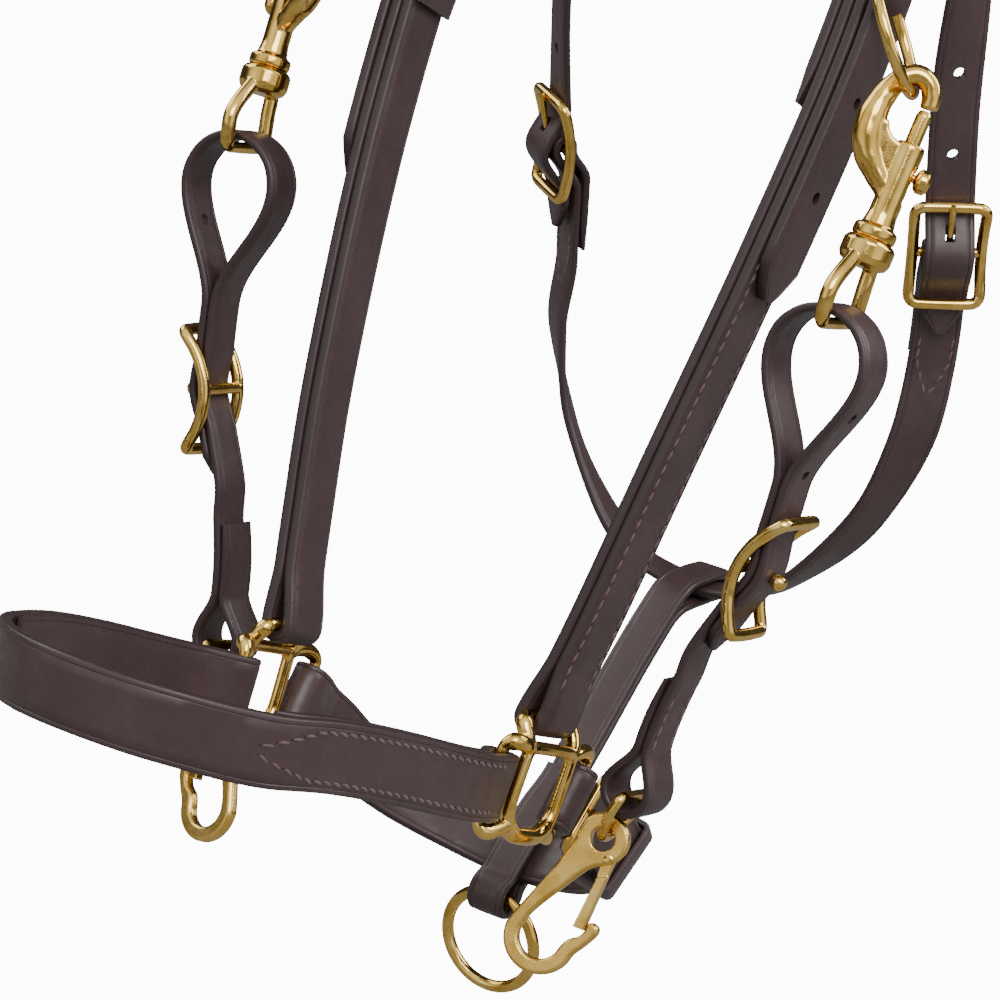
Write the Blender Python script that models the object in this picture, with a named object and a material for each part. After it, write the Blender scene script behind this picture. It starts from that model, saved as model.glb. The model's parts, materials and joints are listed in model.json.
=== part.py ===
"""Leather headcollar with a pair of clip-on bit straps.

The headcollar has the form it takes on a horse's head. The horse faces -X, its near (left)
side faces -Y, and +Z is up. The origin is the middle of the crown's underside, where the
headcollar hangs. Lengths below are in millimetres; MM turns them into metres.
"""

import math

import bmesh
import bpy
from mathutils import Vector

MM = 0.001

# Driving dimensions -----------------------------------------------------------------------
STRAP_WIDTH = 25.0       # noseband, cheekpieces, crown, chin strap
THROAT_WIDTH = 19.0      # throat strap and its billets
BIT_WIDTH = 18.0         # bit straps
JOWL_WIDTH = 16.0        # strap between chin ring and throat strap
LEATHER = 4.2            # thickness of the wide straps
THIN_LEATHER = 3.2       # thickness of the throat, bit and jowl straps
SKIVED = 1.4             # thickness left at a skived end
SKIVE_LENGTH = 14.0      # length over which an end is thinned
GAP = 0.4                # air between touching pieces
CURVE_ROOM = 0.8         # further air where a straight piece meets a curved strap
HOLE_RADIUS = 2.3        # punched holes

WINDOW_WIDTH = 27.0      # clear opening of the halter square
WINDOW_HEIGHT = 28.5
SQUARE_BAR = 2.0         # radius of the halter square's bars
BUCKLE_BAR = 1.9         # radius of the buckle wires
TONGUE_RADIUS = 1.35
TONGUE_ROOM = 0.6        # air round a tongue where it passes through leather
TONGUE_LIFT = 6.0        # degrees that a fastened tongue can lift

RING_RADIUS = 21.0       # cheek ring, centre of the wire
RING_WIRE = 2.2
LINK_WIRE = 1.9          # link between bit strap and clip
CHIN_RING_RADIUS = 20.0
CHIN_RING_WIRE = 2.4

# The poll, seen from the point midway between the two halter squares.
POLL = Vector((145.0, 0.0, 433.02))

BRASS = ("brass", (0.72, 0.50, 0.20), 0.22, 1.0)
STEEL = ("spring_steel", (0.55, 0.55, 0.56), 0.35, 1.0)
HAVANA = ("havana_leather", (0.115, 0.085, 0.082), 0.48, 0.0)

for leftover in list(bpy.data.objects):
    bpy.data.objects.remove(leftover, do_unlink=True)


# Small vector helpers -----------------------------------------------------------------------
def vec(x, y, z):
    return Vector((x, y, z))


def square_to(direction, reference):
    """The part of direction that is square to reference, as a unit vector."""
    return (direction - reference * direction.dot(reference)).normalized()


def smooth(t):
    t = min(max(t, 0.0), 1.0)
    return t * t * (3.0 - 2.0 * t)


# Courses: the lines that straps lie on --------------------------------------------------------
class Course:
    """A smooth line through guide points, with the outward side of a strap that lies on it."""

    SUBDIVISIONS = 14

    def __init__(self, guides):
        points = [Vector(p) for p, _ in guides]
        outs = [Vector(n).normalized() for _, n in guides]
        padded = [2 * points[0] - points[1]] + points + [2 * points[-1] - points[-2]]
        self.points = []
        self.outs = []
        for i in range(len(points) - 1):
            p0, p1, p2, p3 = padded[i:i + 4]
            for k in range(self.SUBDIVISIONS):
                t = k / self.SUBDIVISIONS
                self.points.append(0.5 * (2 * p1 + (p2 - p0) * t
                                          + (2 * p0 - 5 * p1 + 4 * p2 - p3) * t ** 2
                                          + (3 * p1 - p0 - 3 * p2 + p3) * t ** 3))
                self.outs.append(outs[i].lerp(outs[i + 1], smooth(t)))
        self.points.append(points[-1])
        self.outs.append(outs[-1])
        self.lengths = [0.0]
        for a, b in zip(self.points, self.points[1:]):
            self.lengths.append(self.lengths[-1] + (b - a).length)
        self.length = self.lengths[-1]

    def place(self, s):
        """Point, tangent, outward side and across direction at distance s, also past the ends."""
        clamped = min(max(s, 0.0), self.length)
        i = 0
        while i < len(self.lengths) - 2 and self.lengths[i + 1] < clamped:
            i += 1
        t = (clamped - self.lengths[i]) / (self.lengths[i + 1] - self.lengths[i])
        point = self.points[i].lerp(self.points[i + 1], t)
        before = self.points[max(i - 1, 0)]
        after = self.points[min(i + 2, len(self.points) - 1)]
        tangent = (after - before).normalized()
        point = point + tangent * (s - clamped)
        out = square_to(self.outs[i].lerp(self.outs[i + 1], t), tangent)
        return point, tangent, out, tangent.cross(out)


# Side profiles: the path of a strap in its course's own (s, h) plane --------------------------
def run(start, end, step=7.0, ease=False):
    """Points from start to end, both (s, h). With ease the height changes as an S curve."""
    count = max(1, math.ceil(abs(end[0] - start[0]) / step))
    points = []
    for k in range(count + 1):
        t = k / count
        lift = smooth(t) if ease else t
        points.append((start[0] + (end[0] - start[0]) * t, start[1] + (end[1] - start[1]) * lift))
    return points


def bend(centre, radius, first, last, count=6):
    """An arc about centre from angle first to angle last, in degrees from +s towards +h."""
    angles = [math.radians(first + (last - first) * k / count) for k in range(count + 1)]
    return [(centre[0] + radius * math.cos(a), centre[1] + radius * math.sin(a)) for a in angles]


def join(*stretches):
    """One path from several stretches, without doubled points."""
    path = []
    for stretch in stretches:
        for point in stretch:
            if not path or math.dist(path[-1], point) > 0.3:
                path.append(point)
    return path


# Meshes and objects ---------------------------------------------------------------------------
def material(recipe):
    name, colour, roughness, metallic = recipe
    if name in bpy.data.materials:
        return bpy.data.materials[name]
    made = bpy.data.materials.new(name)
    made.use_nodes = True
    shader = made.node_tree.nodes["Principled BSDF"]
    shader.inputs["Base Color"].default_value = (*colour, 1.0)
    shader.inputs["Roughness"].default_value = roughness
    shader.inputs["Metallic"].default_value = metallic
    return made


def mesh_object(name, rings, recipe, side=1, origin=None, closed=False, smooth_angle=35.0):
    """An object whose skin joins rings of points; side -1 makes the off side's mirror image."""
    pivot = POLL if origin is None else Vector(origin)
    bm = bmesh.new()
    loops = []
    for ring in rings:
        loops.append([bm.verts.new(((p.x - pivot.x) * MM, side * (p.y - pivot.y) * MM,
                                    (p.z - pivot.z) * MM)) for p in ring])
    pairs = list(zip(loops, loops[1:]))
    if closed:
        pairs.append((loops[-1], loops[0]))
    for a, b in pairs:
        for k in range(len(a)):
            n = (k + 1) % len(a)
            bm.faces.new((a[k], a[n], b[n], b[k]))
    if not closed:
        bm.faces.new(loops[0])
        bm.faces.new(loops[-1])
    bmesh.ops.recalc_face_normals(bm, faces=bm.faces)
    mesh = bpy.data.meshes.new(name)
    bm.to_mesh(mesh)
    bm.free()
    mesh.shade_smooth()
    mesh.set_sharp_from_angle(angle=math.radians(smooth_angle))
    made = bpy.data.objects.new(name, mesh)
    made.location = ((pivot.x - POLL.x) * MM, side * pivot.y * MM, (pivot.z - POLL.z) * MM)
    made.data.materials.append(material(recipe))
    bpy.context.scene.collection.objects.link(made)
    return made


def combine(target, tool, operation):
    """Joins tool to target, or cuts it away; the tool stays as a hidden guide."""
    tool.hide_render = True
    tool.display_type = "WIRE"
    modifier = target.modifiers.new(tool.name, "BOOLEAN")
    modifier.operation = operation
    modifier.solver = "EXACT"
    modifier.object = tool


def strap_rings(course, profile, width, thickness, start_tip=None, end_tip=None,
                skive_start=False, skive_end=False):
    """Four-cornered rings of a strap; a tip narrows it over that length at that end."""
    travelled = [0.0]
    for a, b in zip(profile, profile[1:]):
        travelled.append(travelled[-1] + math.dist(a, b))
    total = travelled[-1]
    rings = []
    for i, (s, h) in enumerate(profile):
        before = profile[max(i - 1, 0)]
        after = profile[min(i + 1, len(profile) - 1)]
        span = math.dist(before, after)
        along = ((after[0] - before[0]) / span, (after[1] - before[1]) / span)
        normal = (-along[1], along[0])
        from_start = travelled[i]
        from_end = total - travelled[i]
        half = width / 2
        if start_tip and from_start < start_tip:
            half *= 0.25 + 0.75 * from_start / start_tip
        if end_tip and from_end < end_tip:
            half *= 0.25 + 0.75 * from_end / end_tip
        depth = thickness / 2
        if skive_start and from_start < SKIVE_LENGTH:
            depth = (SKIVED + (thickness - SKIVED) * from_start / SKIVE_LENGTH) / 2
        if skive_end and from_end < SKIVE_LENGTH:
            depth = (SKIVED + (thickness - SKIVED) * from_end / SKIVE_LENGTH) / 2
        ring = []
        for edge, face in ((-1, -1), (1, -1), (1, 1), (-1, 1)):
            point, _, out, across = course.place(s + face * normal[0] * depth)
            ring.append(point + out * (h + face * normal[1] * depth) + across * (edge * half))
        rings.append(ring)
    return rings


def strap(name, course, profile, width, thickness, side=1, **ends):
    rings = strap_rings(course, profile, width, thickness, **ends)
    return mesh_object(name, rings, HAVANA, side)


def tube_rings(path, radius, sides=8, closed=False):
    """Round rings along a path of points; radius is a number or one number per point."""
    radii = radius if isinstance(radius, list) else [radius] * len(path)
    last = len(path) - 1
    rings = []
    side_way = None
    for i, point in enumerate(path):
        before = path[i - 1] if i > 0 or closed else path[0]
        after = path[(i + 1) % len(path)] if i < last or closed else path[last]
        tangent = (after - before).normalized()
        if side_way is None:
            seed = vec(0, 0, 1) if abs(tangent.z) < 0.8 else vec(1, 0, 0)
            side_way = square_to(seed, tangent)
        side_way = square_to(side_way, tangent)
        other = tangent.cross(side_way)
        ring = []
        for k in range(sides):
            turn = 2 * math.pi * (k + 0.5) / sides
            ring.append(point + (side_way * math.cos(turn) + other * math.sin(turn)) * radii[i])
        rings.append(ring)
    return rings


def tube(name, path, radius, recipe=BRASS, side=1, sides=8, closed=False, origin=None):
    return mesh_object(name, tube_rings(path, radius, sides, closed), recipe, side, origin, closed)


class Bench:
    """A local frame in which hardware is laid out: right, up and out from an origin."""

    def __init__(self, origin, right, up):
        self.origin = Vector(origin)
        self.right = Vector(right).normalized()
        self.up = square_to(Vector(up), self.right)
        self.out = self.right.cross(self.up)

    def at(self, right, up, out=0.0):
        return self.origin + self.right * right + self.up * up + self.out * out

    def path(self, points):
        return [self.at(*p) for p in points]


def arc(centre, radius, first, last, count=8, out=0.0):
    """Local points (right, up, out) on an arc, angles in degrees from right towards up."""
    angles = [math.radians(first + (last - first) * k / count) for k in range(count + 1)]
    return [(centre[0] + radius * math.cos(a), centre[1] + radius * math.sin(a), out)
            for a in angles]


def rounded_loop(width, height, corner, bottom_corner=None, corner_points=3):
    """A closed rounded rectangle about the local origin."""
    low = corner if bottom_corner is None else bottom_corner
    points = []
    for cx, cy, r, first in ((1, 1, corner, 0), (-1, 1, corner, 90),
                             (-1, -1, low, 180), (1, -1, low, 270)):
        centre = (cx * (width / 2 - r), cy * (height / 2 - r))
        points += arc(centre, r, first, first + 90, corner_points)
    return points


def disc_rings(bench, centre, axis, stations, sides=10):
    """Rings of a turned piece: stations are (distance along axis, radius)."""
    side_way = square_to(bench.right if abs(axis.dot(bench.right)) < 0.8 else bench.up, axis)
    other = axis.cross(side_way)
    rings = []
    for distance, radius in stations:
        middle = centre + axis * distance
        ring = []
        for k in range(sides):
            turn = 2 * math.pi * k / sides
            ring.append(middle + (side_way * math.cos(turn) + other * math.sin(turn)) * radius)
        rings.append(ring)
    return rings


def turned(name, bench, centre, axis, stations, recipe=BRASS, side=1, sides=10, origin=None):
    rings = disc_rings(bench, centre, axis.normalized(), stations, sides)
    return mesh_object(name, rings, recipe, side, origin)


def plate(name, bench, outline, thickness, side=1, origin=None, recipe=BRASS, centre_out=0.0):
    """A flat piece with the given local outline, thickness split about the bench plane."""
    rings = [[bench.at(x, y, centre_out + z) for x, y in outline]
             for z in (-thickness / 2, thickness / 2)]
    return mesh_object(name, rings, recipe, side, origin)


def punch(target, name, course, s, h, side, radius=HOLE_RADIUS, depth=12.0):
    """A round hole through a strap that lies at height h above its course."""
    point, tangent, out, across = course.place(s)
    rings = []
    for lift in (h - depth / 2, h + depth / 2):
        ring = []
        for k in range(10):
            turn = 2 * math.pi * k / 10
            ring.append(point + out * lift
                        + (tangent * math.cos(turn) + across * math.sin(turn)) * radius)
        rings.append(ring)
    combine(target, mesh_object(name, rings, HAVANA, side), "DIFFERENCE")


# The shape the headcollar keeps: courses of the near side ---------------------------------------
SQUARE = Bench(vec(0.0, -62.0, 0.0), vec(0.965, -0.04, -0.26), vec(0.25, -0.03, 0.967))

LOOP_REACH = 25.0        # halter square: centre of a loop's outer bar, from the window's middle
TOP_REACH = 26.0
FRONT_STEP = -4.6        # how far the loops sit inside the window's plane
TOP_STEP = -6.4
REAR_REACH = 27.5
REAR_STEP = -3.0
REAR_SLANT = 4.4         # the rear loop's bar leans to stand square to the chin strap


def mirrored(point):
    return vec(point.x, -point.y, point.z)


def both_sides(near_side, middle):
    """Guides of a course that runs from the near side over the middle to the off side."""
    off_side = [(mirrored(Vector(p)), mirrored(Vector(n))) for p, n in reversed(near_side)]
    return near_side + middle + off_side


NOSE = Course(both_sides([
    (SQUARE.at(-LOOP_REACH, 0.0, FRONT_STEP), SQUARE.out),
    (vec(-55.0, -62.0, 15.5), vec(-0.02, -1.0, 0.0)),
    (vec(-100.0, -60.5, 30.0), vec(-0.07, -0.99, 0.0)),
    (vec(-138.0, -57.5, 41.0), vec(-0.2, -0.98, 0.0)),
    (vec(-172.0, -50.0, 48.0), vec(-0.5, -0.86, 0.02)),
    (vec(-195.0, -30.0, 53.0), vec(-0.85, -0.52, 0.05)),
], [(vec(-203.0, 0.0, 55.0), vec(-1.0, 0.0, 0.06))]))

# Up the near cheek from the square's top loop, over the poll and down the off cheek.
CHEEK = Course(both_sides([
    (SQUARE.at(0.0, TOP_REACH, TOP_STEP), SQUARE.out),
    (vec(17.0, -64.0, 65.0), vec(-0.07, -0.99, -0.1)),
    (vec(30.0, -72.5, 118.0), vec(-0.07, -0.99, -0.1)),
    (vec(54.0, -83.0, 196.0), vec(-0.05, -0.99, -0.08)),
    (vec(80.0, -89.0, 270.0), vec(-0.02, -1.0, -0.02)),
    (vec(100.0, -88.0, 330.0), vec(0.0, -0.99, 0.14)),
    (vec(120.0, -75.0, 384.0), vec(0.0, -0.83, 0.55)),
    (vec(137.0, -46.0, 420.0), vec(0.0, -0.45, 0.89)),
], [(vec(145.0, -20.0, 432.0), vec(0.0, 0.0, 1.0)),
    (vec(145.0, 20.0, 432.0), vec(0.0, 0.0, 1.0))]))

THROAT_SIDE = [
    (vec(163.0, -44.0, 416.0), vec(0.1, -0.45, 0.89)),
    (vec(166.0, -74.0, 374.0), vec(0.0, -0.85, 0.5)),
    (vec(164.0, -88.0, 318.0), vec(-0.35, -0.93, 0.1)),
    (vec(176.0, -88.0, 252.0), vec(-0.75, -0.62, 0.1)),
    (vec(195.0, -88.0, 190.0), vec(-0.82, -0.52, 0.12)),
    (vec(208.0, -86.0, 130.0), vec(-0.78, -0.6, 0.0)),
    (vec(212.0, -70.0, 76.0), vec(-0.4, -0.85, -0.3)),
    (vec(212.0, -38.0, 37.0), vec(-0.1, -0.55, -0.8)),
]
THROAT_LOW = [(vec(212.0, -12.0, 27.0), vec(0.0, 0.0, -1.0)),
              (vec(212.0, 12.0, 27.0), vec(0.0, 0.0, -1.0))]
THROAT_HIGH = [(vec(163.0, 14.0, 432.0), vec(0.0, 0.0, 1.0)),
               (vec(163.0, -14.0, 432.0), vec(0.0, 0.0, 1.0))]
OFF_UP = [(mirrored(p), mirrored(n)) for p, n in reversed(THROAT_SIDE)]

# Up the off side, over the poll, down the near side, under the throat and up again.
THROAT = Course(OFF_UP + THROAT_HIGH + THROAT_SIDE + THROAT_LOW + OFF_UP)

CHIN = Course(both_sides([
    (SQUARE.at(REAR_REACH, -0.5, REAR_STEP), SQUARE.out),
    (vec(52.0, -59.0, -24.0), vec(0.05, -1.0, -0.1)),
    (vec(80.0, -53.0, -45.0), vec(0.25, -0.9, -0.35)),
    (vec(100.0, -36.0, -60.0), vec(0.45, -0.6, -0.66)),
], [(vec(108.0, -12.0, -66.0), vec(0.72, 0.0, -0.69)),
    (vec(108.0, 12.0, -66.0), vec(0.72, 0.0, -0.69))]))

CHIN_MIDDLE = vec(108.0, 0.0, -66.0)
JOWL = Course([
    (CHIN_MIDDLE + vec(-0.66, 0.0, -0.75) * 21.0, vec(0.72, 0.0, -0.69)),
    (CHIN_MIDDLE, vec(0.72, 0.0, -0.69)),
    (vec(140.0, 0.0, -32.0), vec(0.7, 0.0, -0.71)),
    (vec(172.0, 0.0, 5.0), vec(0.55, 0.0, -0.83)),
    (vec(192.0, 0.0, 23.0), vec(0.25, 0.0, -0.97)),
    (vec(212.0, 0.0, 25.9), vec(0.0, 0.0, -1.0)),
    (vec(226.0, 0.0, 25.9), vec(0.0, 0.0, -1.0)),
])


def nearest_s(course, target, first, last):
    """The distance along the course, between two limits, at which it passes closest."""
    steps = 600
    options = [first + (last - first) * k / steps for k in range(steps + 1)]
    return min(options, key=lambda s: (course.place(s)[0] - target).length)


# Where things sit along the courses ---------------------------------------------------------------
PLY = LEATHER + GAP
THIN_PLY = THIN_LEATHER + GAP
SQUARE_FOLD = SQUARE_BAR + GAP + LEATHER / 2
FOLD_EASE = 24.0
NOSE_RETURN = 134.0
POLL_FLAT = 24.0

CROWN_BAR_S = 322.0      # heel bar of the crown buckle, measured up the cheek
CROWN_BUCKLE_LENGTH = 25.0
CROWN_FOLD = BUCKLE_BAR + GAP + LEATHER / 2
CROWN_BAR_H = PLY / 2 - CROWN_FOLD
CROWN_TOP_BAR_H = CROWN_BAR_H + 5.0
CHEEK_TAPER_S = 236.0    # where the cheek's turned-in end runs out
BILLET_TIP_S = 168.0     # where the crown billet's tail ends on the cheek
BILLET_H = PLY / 2 + PLY + 0.3

TOP_BAR_S = 20.0         # throat buckle: from its centre bar to either end bar
THROAT_BAR = 1.6
END_BAR_RISE = 3.5       # the throat buckle is dished: its end bars stand above its centre bar
THIN_FOLD = THROAT_BAR + GAP + THIN_LEATHER / 2
THROAT_BAR_H = BUCKLE_BAR + GAP + CURVE_ROOM + THIN_LEATHER / 2 - END_BAR_RISE
THROAT_STACK = THIN_LEATHER + 2.0
THROAT_POLL_S = nearest_s(THROAT, vec(163.0, 0.0, 432.0), 0.0, THROAT.length)
THROAT_LOW_S = nearest_s(THROAT, vec(212.0, 0.0, 27.0), THROAT_POLL_S, THROAT.length)
THROAT_BUCKLE_S = nearest_s(THROAT, vec(195.0, -88.0, 190.0), THROAT_POLL_S, THROAT_LOW_S)

CHIN_BAR_S = 37.0        # heel bar of the chin buckle, from the near square's rear loop
CHIN_BUCKLE_LENGTH = 23.0
CHIN_FOLD = BUCKLE_BAR + GAP + LEATHER / 2
CHIN_BAR_H = -3.0
CHIN_TOP_BAR_H = 1.6
CHIN_TIP_S = 69.0
CHIN_KEEPER_S = 58.0
CHIN_BILLET_H = CHIN_BAR_H + CHIN_FOLD + PLY + 0.3


# Noseband, cheekpieces and crown --------------------------------------------------------------------
def noseband():
    length = NOSE.length
    inner = SQUARE_FOLD - PLY
    near_end = join(
        run((NOSE_RETURN, inner), (FOLD_EASE, inner), 14.0),
        run((FOLD_EASE, inner), (1.0, -SQUARE_FOLD), 6.0, ease=True),
        bend((0.0, 0.0), SQUARE_FOLD, -90, -270),
        run((1.0, SQUARE_FOLD), (NOSE_RETURN, SQUARE_FOLD), 18.0),
        run((NOSE_RETURN, SQUARE_FOLD), (NOSE_RETURN + 45.0, 0.0), 9.0, ease=True))
    off_end = [(length - s, h) for s, h in reversed(near_end)]
    middle = run(near_end[-1], off_end[0], 11.0)
    strap("noseband_front", NOSE, join(near_end, middle, off_end), STRAP_WIDTH, LEATHER,
          skive_start=True, skive_end=True)


def cheekpiece(side, name):
    """Two plies from the square to the crown buckle, with its top end turned in below the bar."""
    half_ply = PLY / 2
    third = -half_ply - PLY
    clear_s = CROWN_BAR_S - 9.0
    profile = join(
        run((CHEEK_TAPER_S, third), (clear_s, third), 12.0),
        run((clear_s, third), (CROWN_BAR_S, CROWN_BAR_H - CROWN_FOLD), 8.0),
        bend((CROWN_BAR_S, CROWN_BAR_H), CROWN_FOLD, -90, 90),
        run((CROWN_BAR_S, half_ply), (FOLD_EASE, half_ply), 19.0),
        run((FOLD_EASE, half_ply), (1.0, SQUARE_FOLD), 6.0, ease=True),
        bend((0.0, 0.0), SQUARE_FOLD, 90, 270),
        run((1.0, -SQUARE_FOLD), (FOLD_EASE, -half_ply), 6.0, ease=True),
        run((FOLD_EASE, -half_ply), (clear_s, -half_ply), 19.0))
    made = strap(f"{name}_cheekpiece", CHEEK, profile, STRAP_WIDTH, LEATHER, side,
                 skive_start=True)
    cut_fold_slot(made, name, "crown", side)


def crown_tail():
    """The near end of the crown's front branch, from its tip up through the buckle."""
    clear = CROWN_TOP_BAR_H - BUCKLE_BAR - GAP - LEATHER / 2
    far_bar = CROWN_BAR_S + CROWN_BUCKLE_LENGTH
    return join(
        run((BILLET_TIP_S, BILLET_H), (BILLET_TIP_S + 13.0, BILLET_H), 7.0),
        run((BILLET_TIP_S + 13.0, BILLET_H), (CROWN_BAR_S, BILLET_H), 20.0),
        run((CROWN_BAR_S, BILLET_H), (far_bar, clear), 3.5, ease=True),
        run((far_bar, clear), (CROWN_BAR_S + 48.0, 0.0), 8.0, ease=True))


def throat_billet():
    """From the off side's pointed tip over the poll to the near side's tip."""
    s = THROAT_BUCKLE_S
    crest = THROAT_BAR_H + THIN_FOLD + THROAT_STACK
    near = join(
        run((THROAT_POLL_S + POLL_FLAT / 2, LEATHER / 2), (THROAT_POLL_S + 60.0, 0.0), 12.0,
            ease=True),
        run((THROAT_POLL_S + 60.0, 0.0), (s - TOP_BAR_S, 0.0), 15.0),
        run((s - TOP_BAR_S, 0.0), (s, crest), 4.0, ease=True),
        run((s, crest), (s + TOP_BAR_S, 0.0), 4.0, ease=True),
        run((s + TOP_BAR_S, 0.0), (s + TOP_BAR_S + 14.0, 0.0), 5.0))
    off = [(2 * THROAT_POLL_S - a, h) for a, h in reversed(near)]
    return join(off, near)


def crownpiece():
    """Front branches to the cheeks and rear branches to the throat strap, joined at the poll."""
    over = CHEEK.length
    rise = LEATHER / 2
    flat = over / 2 - POLL_FLAT / 2
    tail = crown_tail()
    near = join(tail, run(tail[-1], (flat - 20.0, rise), 13.0, ease=True), [(flat, rise)])
    far = [(over - s, h) for s, h in reversed(near)]
    crown = strap("crownpiece", CHEEK, join(near, far), STRAP_WIDTH, LEATHER,
                  start_tip=13.0, end_tip=13.0)
    rear = strap("crown_rear_branch", THROAT, throat_billet(), THROAT_WIDTH, THIN_LEATHER,
                 start_tip=12.0, end_tip=12.0)
    combine(crown, rear, "UNION")
    for side, name in ((1, "near"), (-1, "off")):
        cut_billet_slot(crown, name, "crown", side)
        cut_billet_slot(crown, name, "throat", side)
        for k in (1, 2):
            punch(crown, f"{name}_crown_hole_{k}", CHEEK, CROWN_BAR_S - 6.0 - k * 36.0,
                  BILLET_H, side, depth=LEATHER + 0.6)
            punch(crown, f"{name}_throat_hole_{k}", THROAT,
                  THROAT_BUCKLE_S - 8.0 - k * 33.0, 0.0, side)


def throat_strap():
    s = THROAT_BUCKLE_S
    front = -THROAT_STACK
    back = front - THIN_PLY
    near = join(
        run((s + 46.0, back), (s + 15.0, back), 9.0),
        run((s + 15.0, back), (s + 2.0, THROAT_BAR_H - THIN_FOLD), 3.5, ease=True),
        bend((s, THROAT_BAR_H), THIN_FOLD, -90, -270),
        run((s + 1.0, THROAT_BAR_H + THIN_FOLD), (s + TOP_BAR_S, front), 3.0, ease=True),
        run((s + TOP_BAR_S, front), (s + 50.0, front), 10.0),
        run((s + 50.0, front), (s + 80.0, 0.0), 9.0, ease=True))
    off = [(2 * THROAT_LOW_S - a, h) for a, h in reversed(near)]
    made = strap("throat_strap", THROAT, join(near, run(near[-1], off[0], 13.0), off),
                 THROAT_WIDTH, THIN_LEATHER, skive_start=True, skive_end=True)
    for side, name in ((1, "near"), (-1, "off")):
        cut_fold_slot(made, name, "throat", side)


# Buckles ------------------------------------------------------------------------------------------
def on_course(course, s, h, reverse=False):
    """A bench on a strap: up runs along the course, or against it, and out is outward."""
    point, tangent, out, _ = course.place(s)
    up = -tangent if reverse else tangent
    return Bench(point + out * h, up.cross(out), up)


# For each kind of tongue: its bench on the bar, the bar's radius, the far bar's distance and
# how far the far bar stands above the bar.
TONGUES = {
    "crown": (on_course(CHEEK, CROWN_BAR_S, CROWN_BAR_H), BUCKLE_BAR, CROWN_BUCKLE_LENGTH,
              CROWN_TOP_BAR_H - CROWN_BAR_H),
    "throat": (on_course(THROAT, THROAT_BUCKLE_S, THROAT_BAR_H, reverse=True), THROAT_BAR,
               TOP_BAR_S, END_BAR_RISE),
    "chin": (on_course(CHIN, CHIN_BAR_S, CHIN_BAR_H, reverse=True), BUCKLE_BAR,
             CHIN_BUCKLE_LENGTH, CHIN_TOP_BAR_H - CHIN_BAR_H),
}
TONGUE_REST = 0.35       # air between a tongue and the bars


def tongue_heights(which):
    """How far outside the bar's middle the tongue's middle lies at the bar and at its tip."""
    _, bar, _, rise = TONGUES[which]
    return bar + TONGUE_REST + TONGUE_RADIUS, rise + BUCKLE_BAR + TONGUE_REST + TONGUE_RADIUS


def tongue_path(which):
    """Round the bar and out to rest on the far bar."""
    bench, _, reach, _ = TONGUES[which]
    wrap, tip = tongue_heights(which)
    around = [bench.at(0.0, wrap * math.cos(a), wrap * math.sin(a))
              for a in (math.radians(-30 - 40 * k) for k in range(7))]
    shank = [bench.at(0.0, reach * t, wrap + (tip - wrap) * t) for t in (0.5, 1.0)]
    return around + shank + [bench.at(0.0, reach + 2.4, tip)]


def cut_slot(target, name, which, side, outline):
    """Cuts a slot as wide as the tongue needs; the outline is in (up, out) at the bar."""
    bench = TONGUES[which][0]
    half = TONGUE_RADIUS + TONGUE_ROOM
    rings = [[bench.at(x, u, o) for u, o in outline] for x in (-half, half)]
    cutter = mesh_object(f"{target.name}_{name}_{which}_slot", rings, HAVANA, side)
    combine(target, cutter, "DIFFERENCE")


def cut_fold_slot(target, name, which, side):
    """The slot through a strap's fold that lets the tongue ride on the bar."""
    back = tongue_heights(which)[0] + TONGUE_RADIUS + TONGUE_ROOM
    cut_slot(target, name, which, side, [(-back, -14.0), (14.0, -14.0), (14.0, 14.0), (-back, 14.0)])


def cut_billet_slot(target, name, which, side):
    """The hole through a billet that the tongue passes, with room for the tongue to lift."""
    reach = TONGUES[which][2]
    wrap, tip = tongue_heights(which)
    half = TONGUE_RADIUS + TONGUE_ROOM
    turn = math.radians(TONGUE_LIFT)
    lifted = [(u * math.cos(turn) - o * math.sin(turn), u * math.sin(turn) + o * math.cos(turn))
              for u, o in ((reach, tip + half), (1.0, wrap + half))]
    cut_slot(target, name, which, side, [(1.0, wrap - half), (reach, tip - half)] + lifted)


def tongue(side, name, which):
    path = tongue_path(which)
    radii = [TONGUE_RADIUS] * (len(path) - 1) + [TONGUE_RADIUS * 0.7]
    tube(f"{name}_{which}_tongue", path, radii, BRASS, side,
         origin=TONGUES[which][0].origin)


def heel_buckle(side, name, which):
    """A frame whose near side is the bar that the strap folds round."""
    bench, _, length, rise = TONGUES[which]
    half = STRAP_WIDTH / 2 + 2.8
    corner = 5.0
    outline = (arc((half - 2.0, 2.0), 2.0, 270, 360, 2)
               + arc((half - corner, length - corner), corner, 0, 90, 3)
               + arc((-half + corner, length - corner), corner, 90, 180, 3)
               + arc((-half + 2.0, 2.0), 2.0, 180, 270, 2))
    path = [bench.at(x, y, rise * y / length) for x, y, _ in outline]
    tube(f"{name}_{which}_buckle", path, BUCKLE_BAR, BRASS, side, closed=True)


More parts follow.
